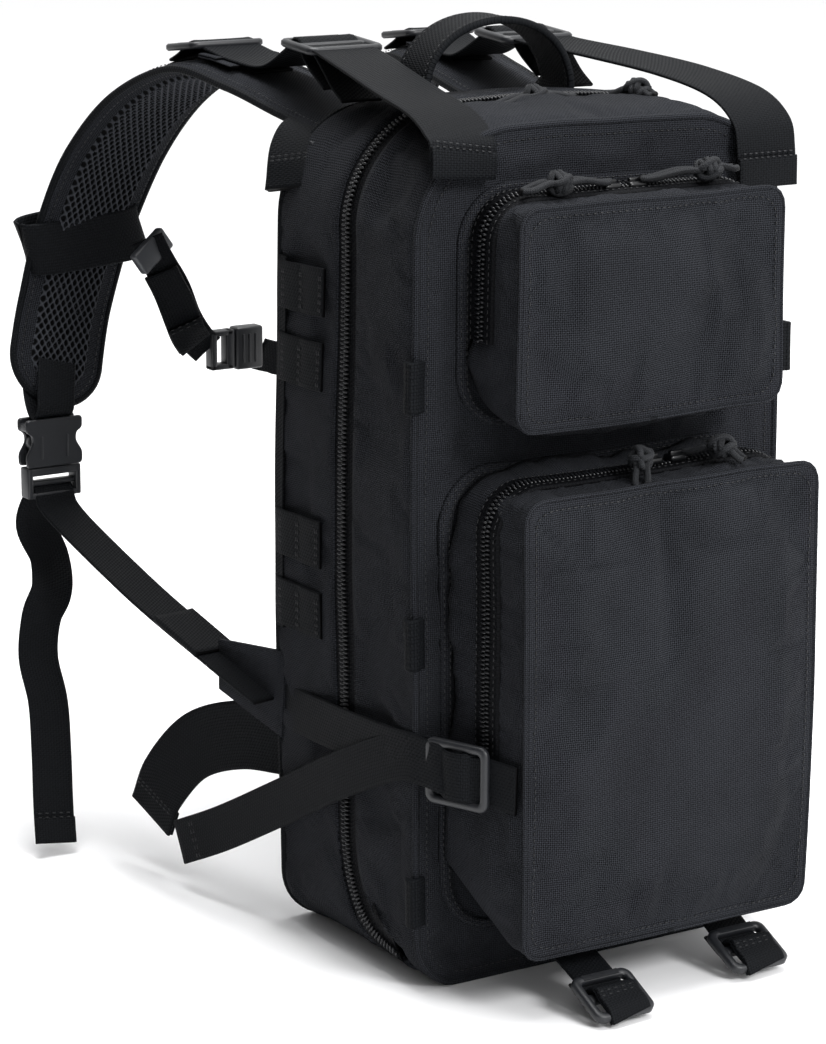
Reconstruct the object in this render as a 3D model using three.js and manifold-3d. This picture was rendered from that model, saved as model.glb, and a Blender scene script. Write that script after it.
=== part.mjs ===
// Compact trauma backpack: a clamshell pack with two front pockets, padded shoulder straps,
// compression webbing, side webbing rows and knotted cord zip pulls.
// Millimetres. Origin: centre of the main body's base, on the ground. X to the right of
// someone facing the pockets, the pockets face -Y, the wearer's back is at +Y, +Z is up.

import * as THREE from 'three';
import { mergeVertices } from 'three/addons/utils/BufferGeometryUtils.js';
import Module from 'manifold-3d';

const wasm = await Module();
wasm.setup();

// ---- driving dimensions ----
const packWidth = 220;
const packHeight = 436;
const frontY = -66;              // outer face of the front panel
const backY = 66;                // outer face of the back panel
const topRadius = 52;
const bottomRadius = 28;
const wall = 4;                  // padded fabric wall
const panel = 3.7;               // front and back panels
const gap = 0.3;                 // clearance between sewn neighbours
const zipHalf = 4.3;             // half width of the coil chain
const zipProud = 1.5;            // the chain stands out from the wall by this

const pocketWall = 3;
// zipAhead: how far a pocket's zip runs in front of the seam at its base; fold: the height it opens down to
const upperPocket = { width: 159, low: 296, high: 405, depth: 44, radius: 20, fold: 333, zipAhead: 12 };
const lowerPocket = { width: 176, low: 32, high: 268, depth: 65, radius: 24, fold: 110, zipAhead: 32 };

const webbing = 25;              // webbing widths
const wideWebbing = 38;
const webbingThick = 2;
const strapWidth = 64;           // padded shoulder strap
const strapThick = 10;
const mollePitch = 38;
const sides = [['left', -1], ['right', 1]];

// ---- finishes ----
function finish(color, roughness, metalness = 0) {
  return new THREE.MeshStandardMaterial({ color, roughness, metalness });
}
const packFabric = finish(0x2b2d31, 0.85);
const liningFabric = finish(0x35383d, 0.9);
const webbingTape = finish(0x232529, 0.8);
const spacerMesh = finish(0x1d1e21, 0.95);
const bucklePlastic = finish(0x2a2b2e, 0.45);
const zipCoil = finish(0x1b1c1e, 0.5);
const sliderMetal = finish(0x1e1f21, 0.4, 0.6);
const pullCord = finish(0x26282b, 0.8);
const frameSheetPlastic = finish(0x15161a, 0.5);

const pack = new THREE.Group();

function addMesh(name, geometry, material, place = [0, 0, 0], turn = [0, 0, 0]) {
  const mesh = new THREE.Mesh(geometry, material);
  mesh.name = name;
  mesh.position.set(...place);
  mesh.rotation.set(...turn);
  pack.add(mesh);
  return mesh;
}

// ---- solid helpers ----
function toSolid(geometry) {
  const bare = geometry.clone();
  bare.deleteAttribute('normal');
  bare.deleteAttribute('uv');
  const merged = mergeVertices(bare, 1e-4);
  return new wasm.Manifold(new wasm.Mesh({
    numProp: 3,
    vertProperties: Float32Array.from(merged.attributes.position.array),
    triVerts: Uint32Array.from(merged.index.array),
  }));
}

function fromSolid(solid) {
  const mesh = solid.getMesh();
  const geometry = new THREE.BufferGeometry();
  geometry.setAttribute('position', new THREE.BufferAttribute(mesh.vertProperties, 3));
  geometry.setIndex(new THREE.BufferAttribute(mesh.triVerts, 1));
  return geometry;
}

function join(...geometries) {
  return fromSolid(geometries.map(toSolid).reduce((whole, part) => whole.add(part)));
}

function cut(geometry, ...tools) {
  return fromSolid(tools.map(toSolid).reduce((rest, tool) => rest.subtract(tool), toSolid(geometry)));
}

function common(geometry, other) {
  return fromSolid(toSolid(geometry).intersect(toSolid(other)));
}

function box(xLow, xHigh, yLow, yHigh, zLow, zHigh) {
  const block = new THREE.BoxGeometry(xHigh - xLow, yHigh - yLow, zHigh - zLow);
  return block.translate((xLow + xHigh) / 2, (yLow + yHigh) / 2, (zLow + zHigh) / 2);
}

// an outline drawn in X and Z, as thick as yLow to yHigh
function slabAlongY(shape, yLow, yHigh, curveSegments = 6) {
  const slab = new THREE.ExtrudeGeometry(shape, { depth: yHigh - yLow, bevelEnabled: false, curveSegments });
  return slab.rotateX(Math.PI / 2).translate(0, yHigh, 0);
}

// an outline drawn in Y and Z, as wide as xLow to xHigh
function slabAlongX(shape, xLow, xHigh, curveSegments = 6) {
  const slab = new THREE.ExtrudeGeometry(shape, { depth: xHigh - xLow, bevelEnabled: false, curveSegments });
  const cyclic = new THREE.Matrix4().set(0, 0, 1, 0, 1, 0, 0, 0, 0, 1, 0, 0, 0, 0, 0, 1);
  return slab.applyMatrix4(cyclic).translate(xLow, 0, 0);
}

// an upright rectangle with its own top and bottom corner radii, centred on x = 0
function roundedOutline(width, low, high, topR, bottomR) {
  const half = width / 2;
  const shape = new THREE.Shape();
  shape.moveTo(-half + bottomR, low);
  shape.lineTo(half - bottomR, low);
  shape.absarc(half - bottomR, low + bottomR, bottomR, -Math.PI / 2, 0, false);
  shape.lineTo(half, high - topR);
  shape.absarc(half - topR, high - topR, topR, 0, Math.PI / 2, false);
  shape.lineTo(-half + topR, high);
  shape.absarc(-half + topR, high - topR, topR, Math.PI / 2, Math.PI, false);
  shape.lineTo(-half, low + bottomR);
  shape.absarc(-half + bottomR, low + bottomR, bottomR, Math.PI, 1.5 * Math.PI, false);
  return shape;
}

// a flat strap along a curve; across is the direction of its width where it starts
function ribbon(points, width, thickness, across = [1, 0, 0], steps = 12) {
  const path = new THREE.CatmullRomCurve3(points.map((p) => new THREE.Vector3(...p)));
  const frames = path.computeFrenetFrames(steps, false);
  const direction = new THREE.Vector3(...across);
  const turn = Math.atan2(direction.dot(frames.binormals[0]), direction.dot(frames.normals[0]));
  const corners = [[-1, -1], [1, -1], [1, 1], [-1, 1]].map(([u, v]) => new THREE.Vector2(
    (u * width / 2) * Math.cos(turn) - (v * thickness / 2) * Math.sin(turn),
    (u * width / 2) * Math.sin(turn) + (v * thickness / 2) * Math.cos(turn),
  ));
  const section = new THREE.Shape(corners);
  return new THREE.ExtrudeGeometry(section, { steps, bevelEnabled: false, extrudePath: path });
}

// ---- main body: a rear half and a lid that part along the zip ----
function bodyRing(proud, inset) {
  const outer = roundedOutline(packWidth + 2 * proud, -proud, packHeight + proud,
    topRadius + proud, bottomRadius + proud);
  const inner = roundedOutline(packWidth - 2 * inset, inset, packHeight - inset,
    topRadius - inset, bottomRadius - inset);
  return cut(slabAlongY(outer, frontY + panel + gap, backY - panel - gap),
    slabAlongY(inner, frontY, backY));
}

// everything in front of the zip line, which runs down the side and curves forward at the base;
// shift moves the line back and down (positive) or forward and up (negative)
const zipTurnHigh = 75;
const zipTurnLow = 12;
function aheadOfZip(shift) {
  const shape = new THREE.Shape();
  shape.moveTo(shift, 2 * packHeight);
  shape.lineTo(-packHeight, 2 * packHeight);
  shape.lineTo(-packHeight, zipTurnLow - shift);
  shape.lineTo(frontY + 6 + shift, zipTurnLow - shift);
  shape.quadraticCurveTo(shift, zipTurnLow - shift, shift, zipTurnHigh - shift);
  return slabAlongX(shape, -packWidth, packWidth, 8);
}

function makeBody() {
  const shell = bodyRing(0, wall);
  const chain = bodyRing(zipProud, wall - 1);
  const aboveGround = box(-packWidth, packWidth, frontY, backY, 0.2, 2 * packHeight);
  addMesh('rear_gusset', cut(shell, aheadOfZip(zipHalf + gap)), packFabric);
  addMesh('front_gusset', common(shell, aheadOfZip(-zipHalf - gap)), packFabric);
  const rearChain = cut(common(chain, aheadOfZip(zipHalf)), aheadOfZip(gap / 2));
  const frontChain = cut(common(chain, aheadOfZip(-gap / 2)), aheadOfZip(-zipHalf));
  addMesh('rear_zip_chain', common(rearChain, aboveGround), zipCoil);
  addMesh('front_zip_chain', common(frontChain, aboveGround), zipCoil);

  const face = roundedOutline(packWidth, 0, packHeight, topRadius, bottomRadius);
  addMesh('front_panel', slabAlongY(face, frontY, frontY + panel), packFabric);
  addMesh('back_panel', slabAlongY(face, backY - panel, backY), packFabric);
}

// ---- inside the main compartment ----
const sheetY = 56;
const loopRows = 4;
const loopPitch = 85;
function makeInside() {
  const sheet = roundedOutline(packWidth - 24, 14, packHeight - 14, topRadius - 12, 14);
  addMesh('frame_sheet', slabAlongY(sheet, sheetY, sheetY + 2), frameSheetPlastic);

  const backing = slabAlongY(sheet, sheetY - 2.3, sheetY - gap);
  const bands = [];
  for (let row = 0; row < loopRows; row += 1) {
    const low = 60 + row * loopPitch;
    bands.push(box(-85, 85, sheetY - 4, sheetY - 2, low, low + wideWebbing));
  }
  addMesh('loop_panel', join(backing, ...bands), liningFabric);

  const lidPocket = roundedOutline(packWidth - 40, 60, 350, 10, 20);
  const lidY = frontY + panel;
  addMesh('lid_mesh_pocket', slabAlongY(lidPocket, lidY + gap, lidY + 2.3), spacerMesh);
}

// ---- back padding: two spacer mesh pads that rest against the wearer ----
const padThick = 8;
function makeBackPads() {
  const upper = roundedOutline(112, 250, 400, 16, 12);
  const lower = roundedOutline(170, 34, 232, 14, 20);
  addMesh('back_pad_upper', slabAlongY(upper, backY + gap, backY + padThick), spacerMesh);
  addMesh('back_pad_lower', slabAlongY(lower, backY + gap, backY + padThick), spacerMesh);
}

// ---- front pockets: a fixed tub below the fold, and a flap that zips open down to it ----
function makePocket(name, pocket) {
  const { width, low, high, depth, radius, fold, zipAhead } = pocket;
  const faceY = frontY - depth;
  const seatY = frontY - gap;
  const outer = slabAlongY(roundedOutline(width, low, high, radius, radius), faceY, seatY);
  const hollow = slabAlongY(
    roundedOutline(width - 2 * pocketWall, low + pocketWall, high - pocketWall,
      radius - pocketWall, radius - pocketWall),
    faceY + pocketWall, frontY + 1,
  );
  const tray = cut(outer, hollow);
  const strip = common(tray, box(-width, width, seatY - zipAhead, frontY, low, high));
  const below = box(-width, width, faceY - 1, frontY, low - 1, fold - gap);
  const above = box(-width, width, faceY - 1, seatY - zipAhead - gap, fold + gap, high + 1);
  addMesh(`${name}_tub`, join(common(tray, below), strip), packFabric);
  addMesh(`${name}_flap`, common(tray, above), packFabric);
}

// ---- shoulder straps, their webbing and buckles ----
const strapRoute = [
  [60, 68, 424], [61, 105, 431], [64, 150, 441], [70, 200, 446], [78, 252, 426],
  [88, 288, 390], [100, 306, 345], [112, 308, 304], [122, 301, 274], [131, 289, 250],
];
const buckleAt = [136, 284];
const buckleTop = 246;
const socketHigh = 32;
const maleTravelRoom = 0.4;

function mirrored(points, side) {
  return points.map(([x, y, z]) => [side * x, y, z]);
}

function makeShoulder(name, side) {
  addMesh(`${name}_shoulder_strap`,
    ribbon(mirrored(strapRoute, side), strapWidth, strapThick, [1, 0, 0], 24), packFabric);

  const [x, y] = [side * buckleAt[0], buckleAt[1]];
  const female = cut(
    box(x - 18, x + 18, y - 6, y + 6, buckleTop - socketHigh, buckleTop - 4),
    box(x - 14, x + 14, y - 3.4, y + 3.4, buckleTop - socketHigh - 1, buckleTop - 8),
  );
  addMesh(`${name}_buckle_female`, female, bucklePlastic);

  const barLow = buckleTop - socketHigh - maleTravelRoom - 18;
  const barHigh = buckleTop - socketHigh - maleTravelRoom;
  const male = join(
    box(x - 17, x + 17, y - 5, y + 5, barLow, barHigh),
    box(x - 13.5, x + 13.5, y - 3, y + 3, barHigh - 1, barHigh + 21),
  );
  addMesh(`${name}_buckle_male`, male, bucklePlastic);

  const leg = mirrored([[135, y - 2, barLow - 4], [132, 250, 180], [127, 180, 155],
    [121, 110, 136], [116, 68, 124]], side);
  addMesh(`${name}_lower_webbing`, ribbon(leg, webbing, webbingThick, [1, 0, 0], 10), webbingTape);

  const tail = mirrored([[138, y + 4, barLow - 2], [143, 293, 160], [150, 272, 118],
    [157, 252, 68], [164, 234, 30], [167, 226, 6]], side);
  addMesh(`${name}_lower_tail`, ribbon(tail, webbing, webbingThick, [1, 0, 0], 12), webbingTape);
}

// a flat ladder lock: a plate with two webbing slots, lying in X and Y
function ladderLock(width, length, thickness) {
  const plate = new THREE.Shape([
    new THREE.Vector2(-width / 2, -length / 2), new THREE.Vector2(width / 2, -length / 2),
    new THREE.Vector2(width / 2, length / 2), new THREE.Vector2(-width / 2, length / 2),
  ]);
  const slotWide = width / 2 - 4;
  const slotHalf = (length / 2 - 5) / 2;
  for (const middle of [-length / 4 + 0.5, length / 4 - 0.5]) {
    const low = middle - slotHalf;
    const high = middle + slotHalf;
    plate.holes.push(new THREE.Path([
      new THREE.Vector2(-slotWide, low), new THREE.Vector2(-slotWide, high),
      new THREE.Vector2(slotWide, high), new THREE.Vector2(slotWide, low),
    ]));
  }
  return new THREE.ExtrudeGeometry(plate, { depth: thickness, bevelEnabled: false })
    .translate(0, 0, -thickness / 2);
}

const lifterDrape = {
  left: [[-64, 74, 464], [-70, 40, 459], [-76, 0, 450], [-82, -42, 443.6],
    [-87, -66, 435.6], [-89, -71.5, 428], [-90, -72.5, 419]],
  right: [[63, 74, 464], [74, 30, 460], [88, -12, 454], [95, -48, 446],
    [97, -67, 434], [97, -72, 420], [97, -73, 400]],
};
function makeLifter(name, side) {
  addMesh(`${name}_strap_lock`, ladderLock(46, 34, 4), bucklePlastic,
    [side * 70, 205, 457.5], [-0.12, 0, 0]);
  addMesh(`${name}_lifter_lock`, ladderLock(46, 34, 4), bucklePlastic,
    [side * 61, 96, 466], [0.08, 0, 0]);
  addMesh(`${name}_lifter_tail`, ribbon(lifterDrape[name], wideWebbing, webbingThick, [1, 0, 0], 12),
    webbingTape);
}

// ---- sternum strap: hangs between the shoulder straps, with its buckle left of the middle ----
function makeSternum() {
  const buckleX = -30;
  const [buckleY, buckleZ] = [256, 276];
  const up = [0, -0.3, 1];
  const leftRoute = [[-86, 254, 338], [-74, 250, 320], [-64, 253, 298], [-55, 255, 284]];
  addMesh('sternum_strap_left', ribbon(leftRoute, 20, webbingThick, up, 8), webbingTape);
  const rightRoute = [[-10, 256, 270], [8, 257, 266], [34, 255, 280], [60, 250, 306], [86, 252, 338]];
  addMesh('sternum_strap_right', ribbon(rightRoute, 20, webbingThick, up, 12), webbingTape);

  const female = cut(
    box(buckleX - 1, buckleX + 17, buckleY - 5, buckleY + 5, buckleZ - 12.5, buckleZ + 12.5),
    box(buckleX - 2, buckleX + 14, buckleY - 2.6, buckleY + 2.6, buckleZ - 9.5, buckleZ + 9.5),
  );
  addMesh('sternum_buckle_female', female, bucklePlastic);
  const male = join(
    box(buckleX - 17, buckleX - 1.4, buckleY - 4, buckleY + 4, buckleZ - 11.5, buckleZ + 11.5),
    box(buckleX - 3, buckleX + 12, buckleY - 2.2, buckleY + 2.2, buckleZ - 9, buckleZ + 9),
  );
  addMesh('sternum_buckle_male', male, bucklePlastic);
}

// ---- haul handle: a padded webbing arch across the top of the back panel ----
function makeHandle() {
  const rise = 46;
  const footX = 46;
  const footZ = packHeight + gap + 0.2;
  const points = [];
  for (let step = 0; step <= 8; step += 1) {
    const angle = Math.PI * (step / 8);
    points.push([-footX * Math.cos(angle), 42, footZ + rise * Math.sin(angle) ** 0.7]);
  }
  const arch = ribbon(points, 30, 4, [0, 1, 0], 16);
  const trimmed = common(arch, box(-60, 60, 20, 70, footZ, footZ + rise + 10));
  addMesh('haul_handle', trimmed, webbingTape);
}

// ---- side webbing rows: two pairs of bands, caught in the back seam ----
function makeMolle(name, side) {
  const near = side * (packWidth / 2 + 0.4);
  const far = side * (packWidth / 2 + 3);
  const [xLow, xHigh] = [Math.min(near, far), Math.max(near, far)];
  const pieces = [box(xLow, xHigh, 56, 62, 168, 362)];
  for (const low of [168, 168 + mollePitch, 299, 299 + mollePitch]) {
    pieces.push(box(xLow, xHigh, 18, 62, low, low + webbing));
  }
  addMesh(`${name}_molle`, join(...pieces), webbingTape);
}

// ---- side compression: a wing and webbing from the back seam, through a ladder lock ----
const lockSpot = { x: 104, y: -93, z: 123, yaw: 0.36 };
function makeCompression(name, side) {
  const x = packWidth / 2 + 2.6;
  const strap = ribbon(mirrored([[x, 60, 122], [x, 20, 124], [x, -30, 126], [x + 0.6, -66, 127]], side),
    webbing, webbingThick, [0, 0, 1], 6);
  const tail = ribbon(mirrored([[x + 0.6, -66, 127], [x + 4.5, -50, 126], [x + 7, -10, 104],
    [x + 10, 46, 74], [x + 16, 100, 45], [x + 22, 138, 27]], side), webbing, webbingThick, [0, 0.2, 1], 10);
  addMesh(`${name}_compression_strap`, join(strap, tail), webbingTape);

  addMesh(`${name}_compression_lock`,
    ladderLock(34, 38, 4).rotateY(Math.PI / 2).rotateZ(-side * lockSpot.yaw), bucklePlastic,
    [side * lockSpot.x, lockSpot.y, lockSpot.z]);
}

// ---- waist belt webbing from the lower back corners ----
function makeWaistBelt(name, side) {
  const route = mirrored([[104, 78, 96], [112, 112, 92], [120, 146, 78], [127, 170, 52], [130, 180, 30]], side);
  addMesh(`${name}_waist_belt`, ribbon(route, wideWebbing, webbingThick, [0, 0.4, 1], 10), webbingTape);
}

// ---- straps under the lower pocket, each ending in a ladder lock ----
const bottomStraps = { left: { x: -44, reach: -128, z: 16 }, right: { x: 54, reach: -112, z: 17 } };
function makeBottomStrap(name) {
  const { x, reach, z } = bottomStraps[name];
  const route = [[x, -78, 28.5], [x, -92, 27.5], [x, (reach - 92) / 2, 23], [x, reach, z]];
  addMesh(`${name}_bottom_strap`, ribbon(route, webbing, webbingThick, [1, 0, 0], 6), webbingTape);
  addMesh(`${name}_bottom_lock`, ladderLock(36, 30, 5), bucklePlastic,
    [x, reach - 16.5, z - 5], [0.45, 0, 0]);
}

// ---- zip sliders and their knotted cord pulls ----
const sliderWide = 10;
const sliderDeep = 8;
const sliderHigh = 4.5;
// the foot stands on the fixed side of the zip; the plate overhangs the opening side, clear of its swing
function makeSlider(name, x, y, z, overhangLift) {
  const foot = box(x - sliderWide / 2, x + sliderWide / 2, y, y + sliderDeep / 2, z, z + sliderHigh);
  const plate = box(x - sliderWide / 2, x + sliderWide / 2, y - sliderDeep / 2, y + 1,
    z + overhangLift, z + sliderHigh);
  addMesh(`${name}_slider`, join(foot, plate), sliderMetal);
}

const pullRadius = 3.3;
function makePull(name, points) {
  const route = new THREE.CatmullRomCurve3(points.map((p) => new THREE.Vector3(...p)));
  const section = new THREE.Shape();
  section.absarc(0, 0, pullRadius, 0, 2 * Math.PI, false);
  addMesh(`${name}_pull`, new THREE.ExtrudeGeometry(section, {
    steps: 8, curveSegments: 4, bevelEnabled: false, extrudePath: route,
  }), pullCord);
}

const upperZipY = frontY - gap - upperPocket.zipAhead;
const lowerZipY = frontY - gap - lowerPocket.zipAhead;
const mainZipZ = packHeight + zipProud + gap;
const upperZipZ = upperPocket.high + gap;
const lowerZipZ = lowerPocket.high + gap;

function makePulls() {
  makeSlider('main_left', 28, 0, mainZipZ, 0.9);
  makeSlider('main_right', 44, 0, mainZipZ, 0.9);
  makePull('main_left', [[18.8, -3, 442], [6, -6, 442.2], [-10, -9, 442.6], [-32, -13, 443.1]]);
  makePull('main_right', [[53.2, -3, 442], [56, -7, 442.3], [59, -13, 443.1], [62, -22, 444.1]]);

  makeSlider('upper_left', -6, upperZipY, upperZipZ, 1.8);
  makeSlider('upper_right', 9, upperZipY, upperZipZ, 1.8);
  makePull('upper_left', [[-15.2, -82, 410.8], [-28, -84, 411.6], [-44, -87, 412.5], [-64, -89, 413.1]]);
  makePull('upper_right', [[18.2, -82, 410.8], [30, -86, 412.1], [44, -88, 412.8], [62, -89, 413.1]]);

  makeSlider('lower_left', 8, lowerZipY, lowerZipZ, 1);
  makeSlider('lower_right', 23, lowerZipY, lowerZipZ, 1);
  makePull('lower_left', [[-1.2, -103, 273.2], [-6, -110, 274.4], [-12, -117, 275.2], [-18, -124, 275.8]]);
  makePull('lower_right', [[32.2, -103, 273.2], [36, -110, 274.4], [40, -117, 275.2], [45, -124, 275.8]]);
}

makeBody();
makeInside();
makeBackPads();
makePocket('upper_pocket', upperPocket);
makePocket('lower_pocket', lowerPocket);
makeSternum();
makeHandle();
for (const [name, side] of sides) {
  makeShoulder(name, side);
  makeLifter(name, side);
  makeMolle(name, side);
  makeCompression(name, side);
  makeWaistBelt(name, side);
  makeBottomStrap(name);
}
makePulls();

export default pack;
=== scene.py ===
import bpy
import bmesh
import math
import random
from mathutils import Vector, Matrix, noise


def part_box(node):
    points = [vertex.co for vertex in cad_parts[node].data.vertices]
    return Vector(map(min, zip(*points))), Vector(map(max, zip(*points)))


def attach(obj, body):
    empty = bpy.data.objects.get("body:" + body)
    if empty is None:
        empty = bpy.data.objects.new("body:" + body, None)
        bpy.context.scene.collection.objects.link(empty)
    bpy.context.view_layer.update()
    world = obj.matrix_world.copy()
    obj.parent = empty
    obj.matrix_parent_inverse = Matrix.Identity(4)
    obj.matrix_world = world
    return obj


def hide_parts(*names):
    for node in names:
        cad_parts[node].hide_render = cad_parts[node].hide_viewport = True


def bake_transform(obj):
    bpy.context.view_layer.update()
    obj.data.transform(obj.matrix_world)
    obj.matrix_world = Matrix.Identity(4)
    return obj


# Compact trauma backpack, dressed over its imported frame. Metres; the pockets face -Y, +Z is up.
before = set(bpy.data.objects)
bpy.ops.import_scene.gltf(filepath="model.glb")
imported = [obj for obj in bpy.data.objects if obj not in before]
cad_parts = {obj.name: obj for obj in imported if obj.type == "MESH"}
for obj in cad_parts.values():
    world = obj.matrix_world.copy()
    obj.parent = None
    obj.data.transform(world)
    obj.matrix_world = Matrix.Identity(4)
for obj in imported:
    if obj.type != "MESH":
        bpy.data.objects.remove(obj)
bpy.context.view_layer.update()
mm = 0.001

# ---------- camera, floor and light ----------

view = {
    "eye": (-1.0115, -1.4611, 0.6443),
    "target": (-0.1127, -0.0650, 0.2476),
    "roll": 0.21,          # degrees
    "lens": 119.2,         # mm, on a 36 mm sensor along the frame's long side
}


def placeCamera():
    data = bpy.data.cameras.new("camera")
    data.lens = view["lens"]
    data.sensor_width = 36
    data.clip_end = 30
    obj = bpy.data.objects.new("camera", data)
    bpy.context.scene.collection.objects.link(obj)
    look = Vector(view["target"]) - Vector(view["eye"])
    turn = look.to_track_quat("-Z", "Y").to_matrix().to_4x4()
    roll = Matrix.Rotation(math.radians(view["roll"]), 4, "Z")
    obj.matrix_world = Matrix.Translation(view["eye"]) @ turn @ roll
    bpy.context.scene.camera = obj


light = {
    "world": 1.02,
    "key": {"at": (0.5, -2.7, 2.1), "size": 1.1, "watts": 80},
    "overhead": {"at": (0.1, 0.2, 2.6), "size": 1.6, "watts": 70},
    "rim": {"at": (-2.4, 1.4, 1.6), "size": 1.2, "watts": 5},
    "floor": "#f7f7f8",
}


def placeLight(name):
    setup = light[name]
    data = bpy.data.lights.new(name, "AREA")
    data.shape = "DISK"
    data.size = setup["size"]
    data.energy = setup["watts"]
    obj = bpy.data.objects.new(name, data)
    bpy.context.scene.collection.objects.link(obj)
    aim = Vector((0, 0, 0.2)) - Vector(setup["at"])
    turn = aim.to_track_quat("-Z", "Y").to_matrix().to_4x4()
    obj.matrix_world = Matrix.Translation(setup["at"]) @ turn


# ---------- materials ----------

def srgb(text):
    parts = [int(text[i:i + 2], 16) / 255 for i in (1, 3, 5)]
    return tuple(p / 12.92 if p <= 0.04045 else ((p + 0.055) / 1.055) ** 2.4 for p in parts) + (1,)


def addNode(tree, kind, settings=None, links=None):
    node = tree.nodes.new(kind)
    for key, value in (settings or {}).items():
        if isinstance(key, str) and hasattr(node, key):
            setattr(node, key, value)
        else:
            node.inputs[key].default_value = value
    for key, source in (links or {}).items():
        tree.links.new(source, node.inputs[key])
    return node


def startMaterial(name, color, roughness, **sockets):
    material = bpy.data.materials.new(name)
    material.use_nodes = True
    tree = material.node_tree
    shader = tree.nodes["Principled BSDF"]
    shader.inputs["Base Color"].default_value = srgb(color)
    shader.inputs["Roughness"].default_value = roughness
    for key, value in sockets.items():
        shader.inputs[key.replace("_", " ")].default_value = value
    return material, tree, shader


def sineOf(tree, source, pitch):
    scaled = addNode(tree, "ShaderNodeMath", {"operation": "MULTIPLY", 1: math.pi / pitch}, {0: source})
    return addNode(tree, "ShaderNodeMath", {"operation": "SINE"}, {0: scaled.outputs[0]})


def mathNode(tree, operation, first, second=None):
    node = addNode(tree, "ShaderNodeMath", {"operation": operation}, {0: first})
    if second is None:
        return node.outputs[0]
    if isinstance(second, (int, float)):
        node.inputs[1].default_value = second
    else:
        tree.links.new(second, node.inputs[1])
    return node.outputs[0]


def weaveHeight(tree, uv, across, along):
    # plain weave: one thread system on top, then the other, like a chequerboard of small humps
    parts = addNode(tree, "ShaderNodeSeparateXYZ", links={0: uv})
    sineU = sineOf(tree, parts.outputs[0], across).outputs[0]
    sineV = sineOf(tree, parts.outputs[1], along).outputs[0]
    over = mathNode(tree, "GREATER_THAN", mathNode(tree, "MULTIPLY", sineU, sineV), 0.0)
    humpU = mathNode(tree, "ABSOLUTE", sineU)
    humpV = mathNode(tree, "ABSOLUTE", sineV)
    mix = addNode(tree, "ShaderNodeMix", links={0: over, 2: humpU, 3: humpV})
    return mix.outputs[0]


def shadeBy(tree, shader, factor, dark, bright):
    ramp = addNode(tree, "ShaderNodeMix", {"data_type": "RGBA", 6: srgb(dark), 7: srgb(bright)}, {0: factor})
    tree.links.new(ramp.outputs[2], shader.inputs["Base Color"])
    return ramp


def bumpFrom(tree, shader, height, distance, strength=1.0, under=None):
    links = {"Height": height}
    if under is not None:
        links["Normal"] = under
    bump = addNode(tree, "ShaderNodeBump", {"Distance": distance, "Strength": strength}, links)
    tree.links.new(bump.outputs[0], shader.inputs["Normal"])
    return bump.outputs[0]


def softNoise(tree, coordinates, scale, detail=3.0, roughness=0.55):
    return addNode(tree, "ShaderNodeTexNoise", {"Scale": scale, "Detail": detail, "Roughness": roughness},
                   {"Vector": coordinates}).outputs[0]


packCloth = {
    "thread": 1.05 * mm,     # real threads are about 0.6 mm apart; drawn coarser so that they show
    # the colour runs from dark, painted shade in the gaps between threads, to bright on the thread tops
    "dark": "#020203", "bright": "#323439",
    "sheen": 0.01,
}


def wovenPolyester(name="wovenPolyester", dark=packCloth["dark"], bright=packCloth["bright"]):
    # coated 600-denier cloth: a matt, slightly dusty surface with a fine grain of threads, darkened between the threads
    # as painted shade
    material, tree, shader = startMaterial(name, dark, 0.78, Sheen_Weight=packCloth["sheen"],
                                           Sheen_Roughness=0.45, Specular_IOR_Level=0.06)
    uv = addNode(tree, "ShaderNodeTexCoord").outputs["UV"]
    place = addNode(tree, "ShaderNodeTexCoord").outputs["Object"]
    threads = weaveHeight(tree, uv, packCloth["thread"], packCloth["thread"])
    slub = softNoise(tree, uv, 900, 2.0)          # uneven yarn
    wear = softNoise(tree, place, 22, 4.0)        # broad fading
    # painted shade: the colour darkens where the weave's threads sink, times real uneven yarn and fading
    gapShadeAndYarnTone = mathNode(tree, "MULTIPLY", mathNode(tree, "POWER", threads, 2.4), mathNode(tree, "ADD", slub, wear))
    shadeBy(tree, shader, gapShadeAndYarnTone, dark, bright)
    crumple = softNoise(tree, place, 60, 5.0, 0.6)
    under = bumpFrom(tree, shader, crumple, 1.6 * mm, 0.35)
    bumpFrom(tree, shader, mathNode(tree, "ADD", threads, slub), 0.34 * mm, 1.0, under)
    return material


# dark is painted shade in the grooves between the ribs, bright the rib tops
webTape = {"rib": 1.1 * mm, "cord": 1.7 * mm, "dark": "#020203", "bright": "#16181b"}


def ribbedWebbing(name="ribbedWebbing", dark=webTape["dark"], bright=webTape["bright"]):
    # woven nylon webbing: ribs across the tape, a faint herringbone and a soft satin gloss, with painted shade
    # darkening the grooves between the ribs
    material, tree, shader = startMaterial(name, dark, 0.62, Sheen_Weight=0.0, Sheen_Roughness=0.4,
                                           Specular_IOR_Level=0.07)
    uv = addNode(tree, "ShaderNodeTexCoord").outputs["UV"]
    place = addNode(tree, "ShaderNodeTexCoord").outputs["Object"]
    ribs = weaveHeight(tree, uv, webTape["cord"], webTape["rib"])
    fuzz = softNoise(tree, uv, 1100, 2.0)
    # painted shade: the colour darkens between the ribs, times real fuzz variation
    gapShadeAndYarnTone = mathNode(tree, "MULTIPLY", ribs, mathNode(tree, "ADD", fuzz, 0.4))
    shadeBy(tree, shader, gapShadeAndYarnTone, dark, bright)
    under = bumpFrom(tree, shader, softNoise(tree, place, 90, 3.0), 0.8 * mm, 0.3)
    bumpFrom(tree, shader, mathNode(tree, "ADD", ribs, mathNode(tree, "MULTIPLY", fuzz, 0.4)),
             0.26 * mm, 0.9, under)
    return material


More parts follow.
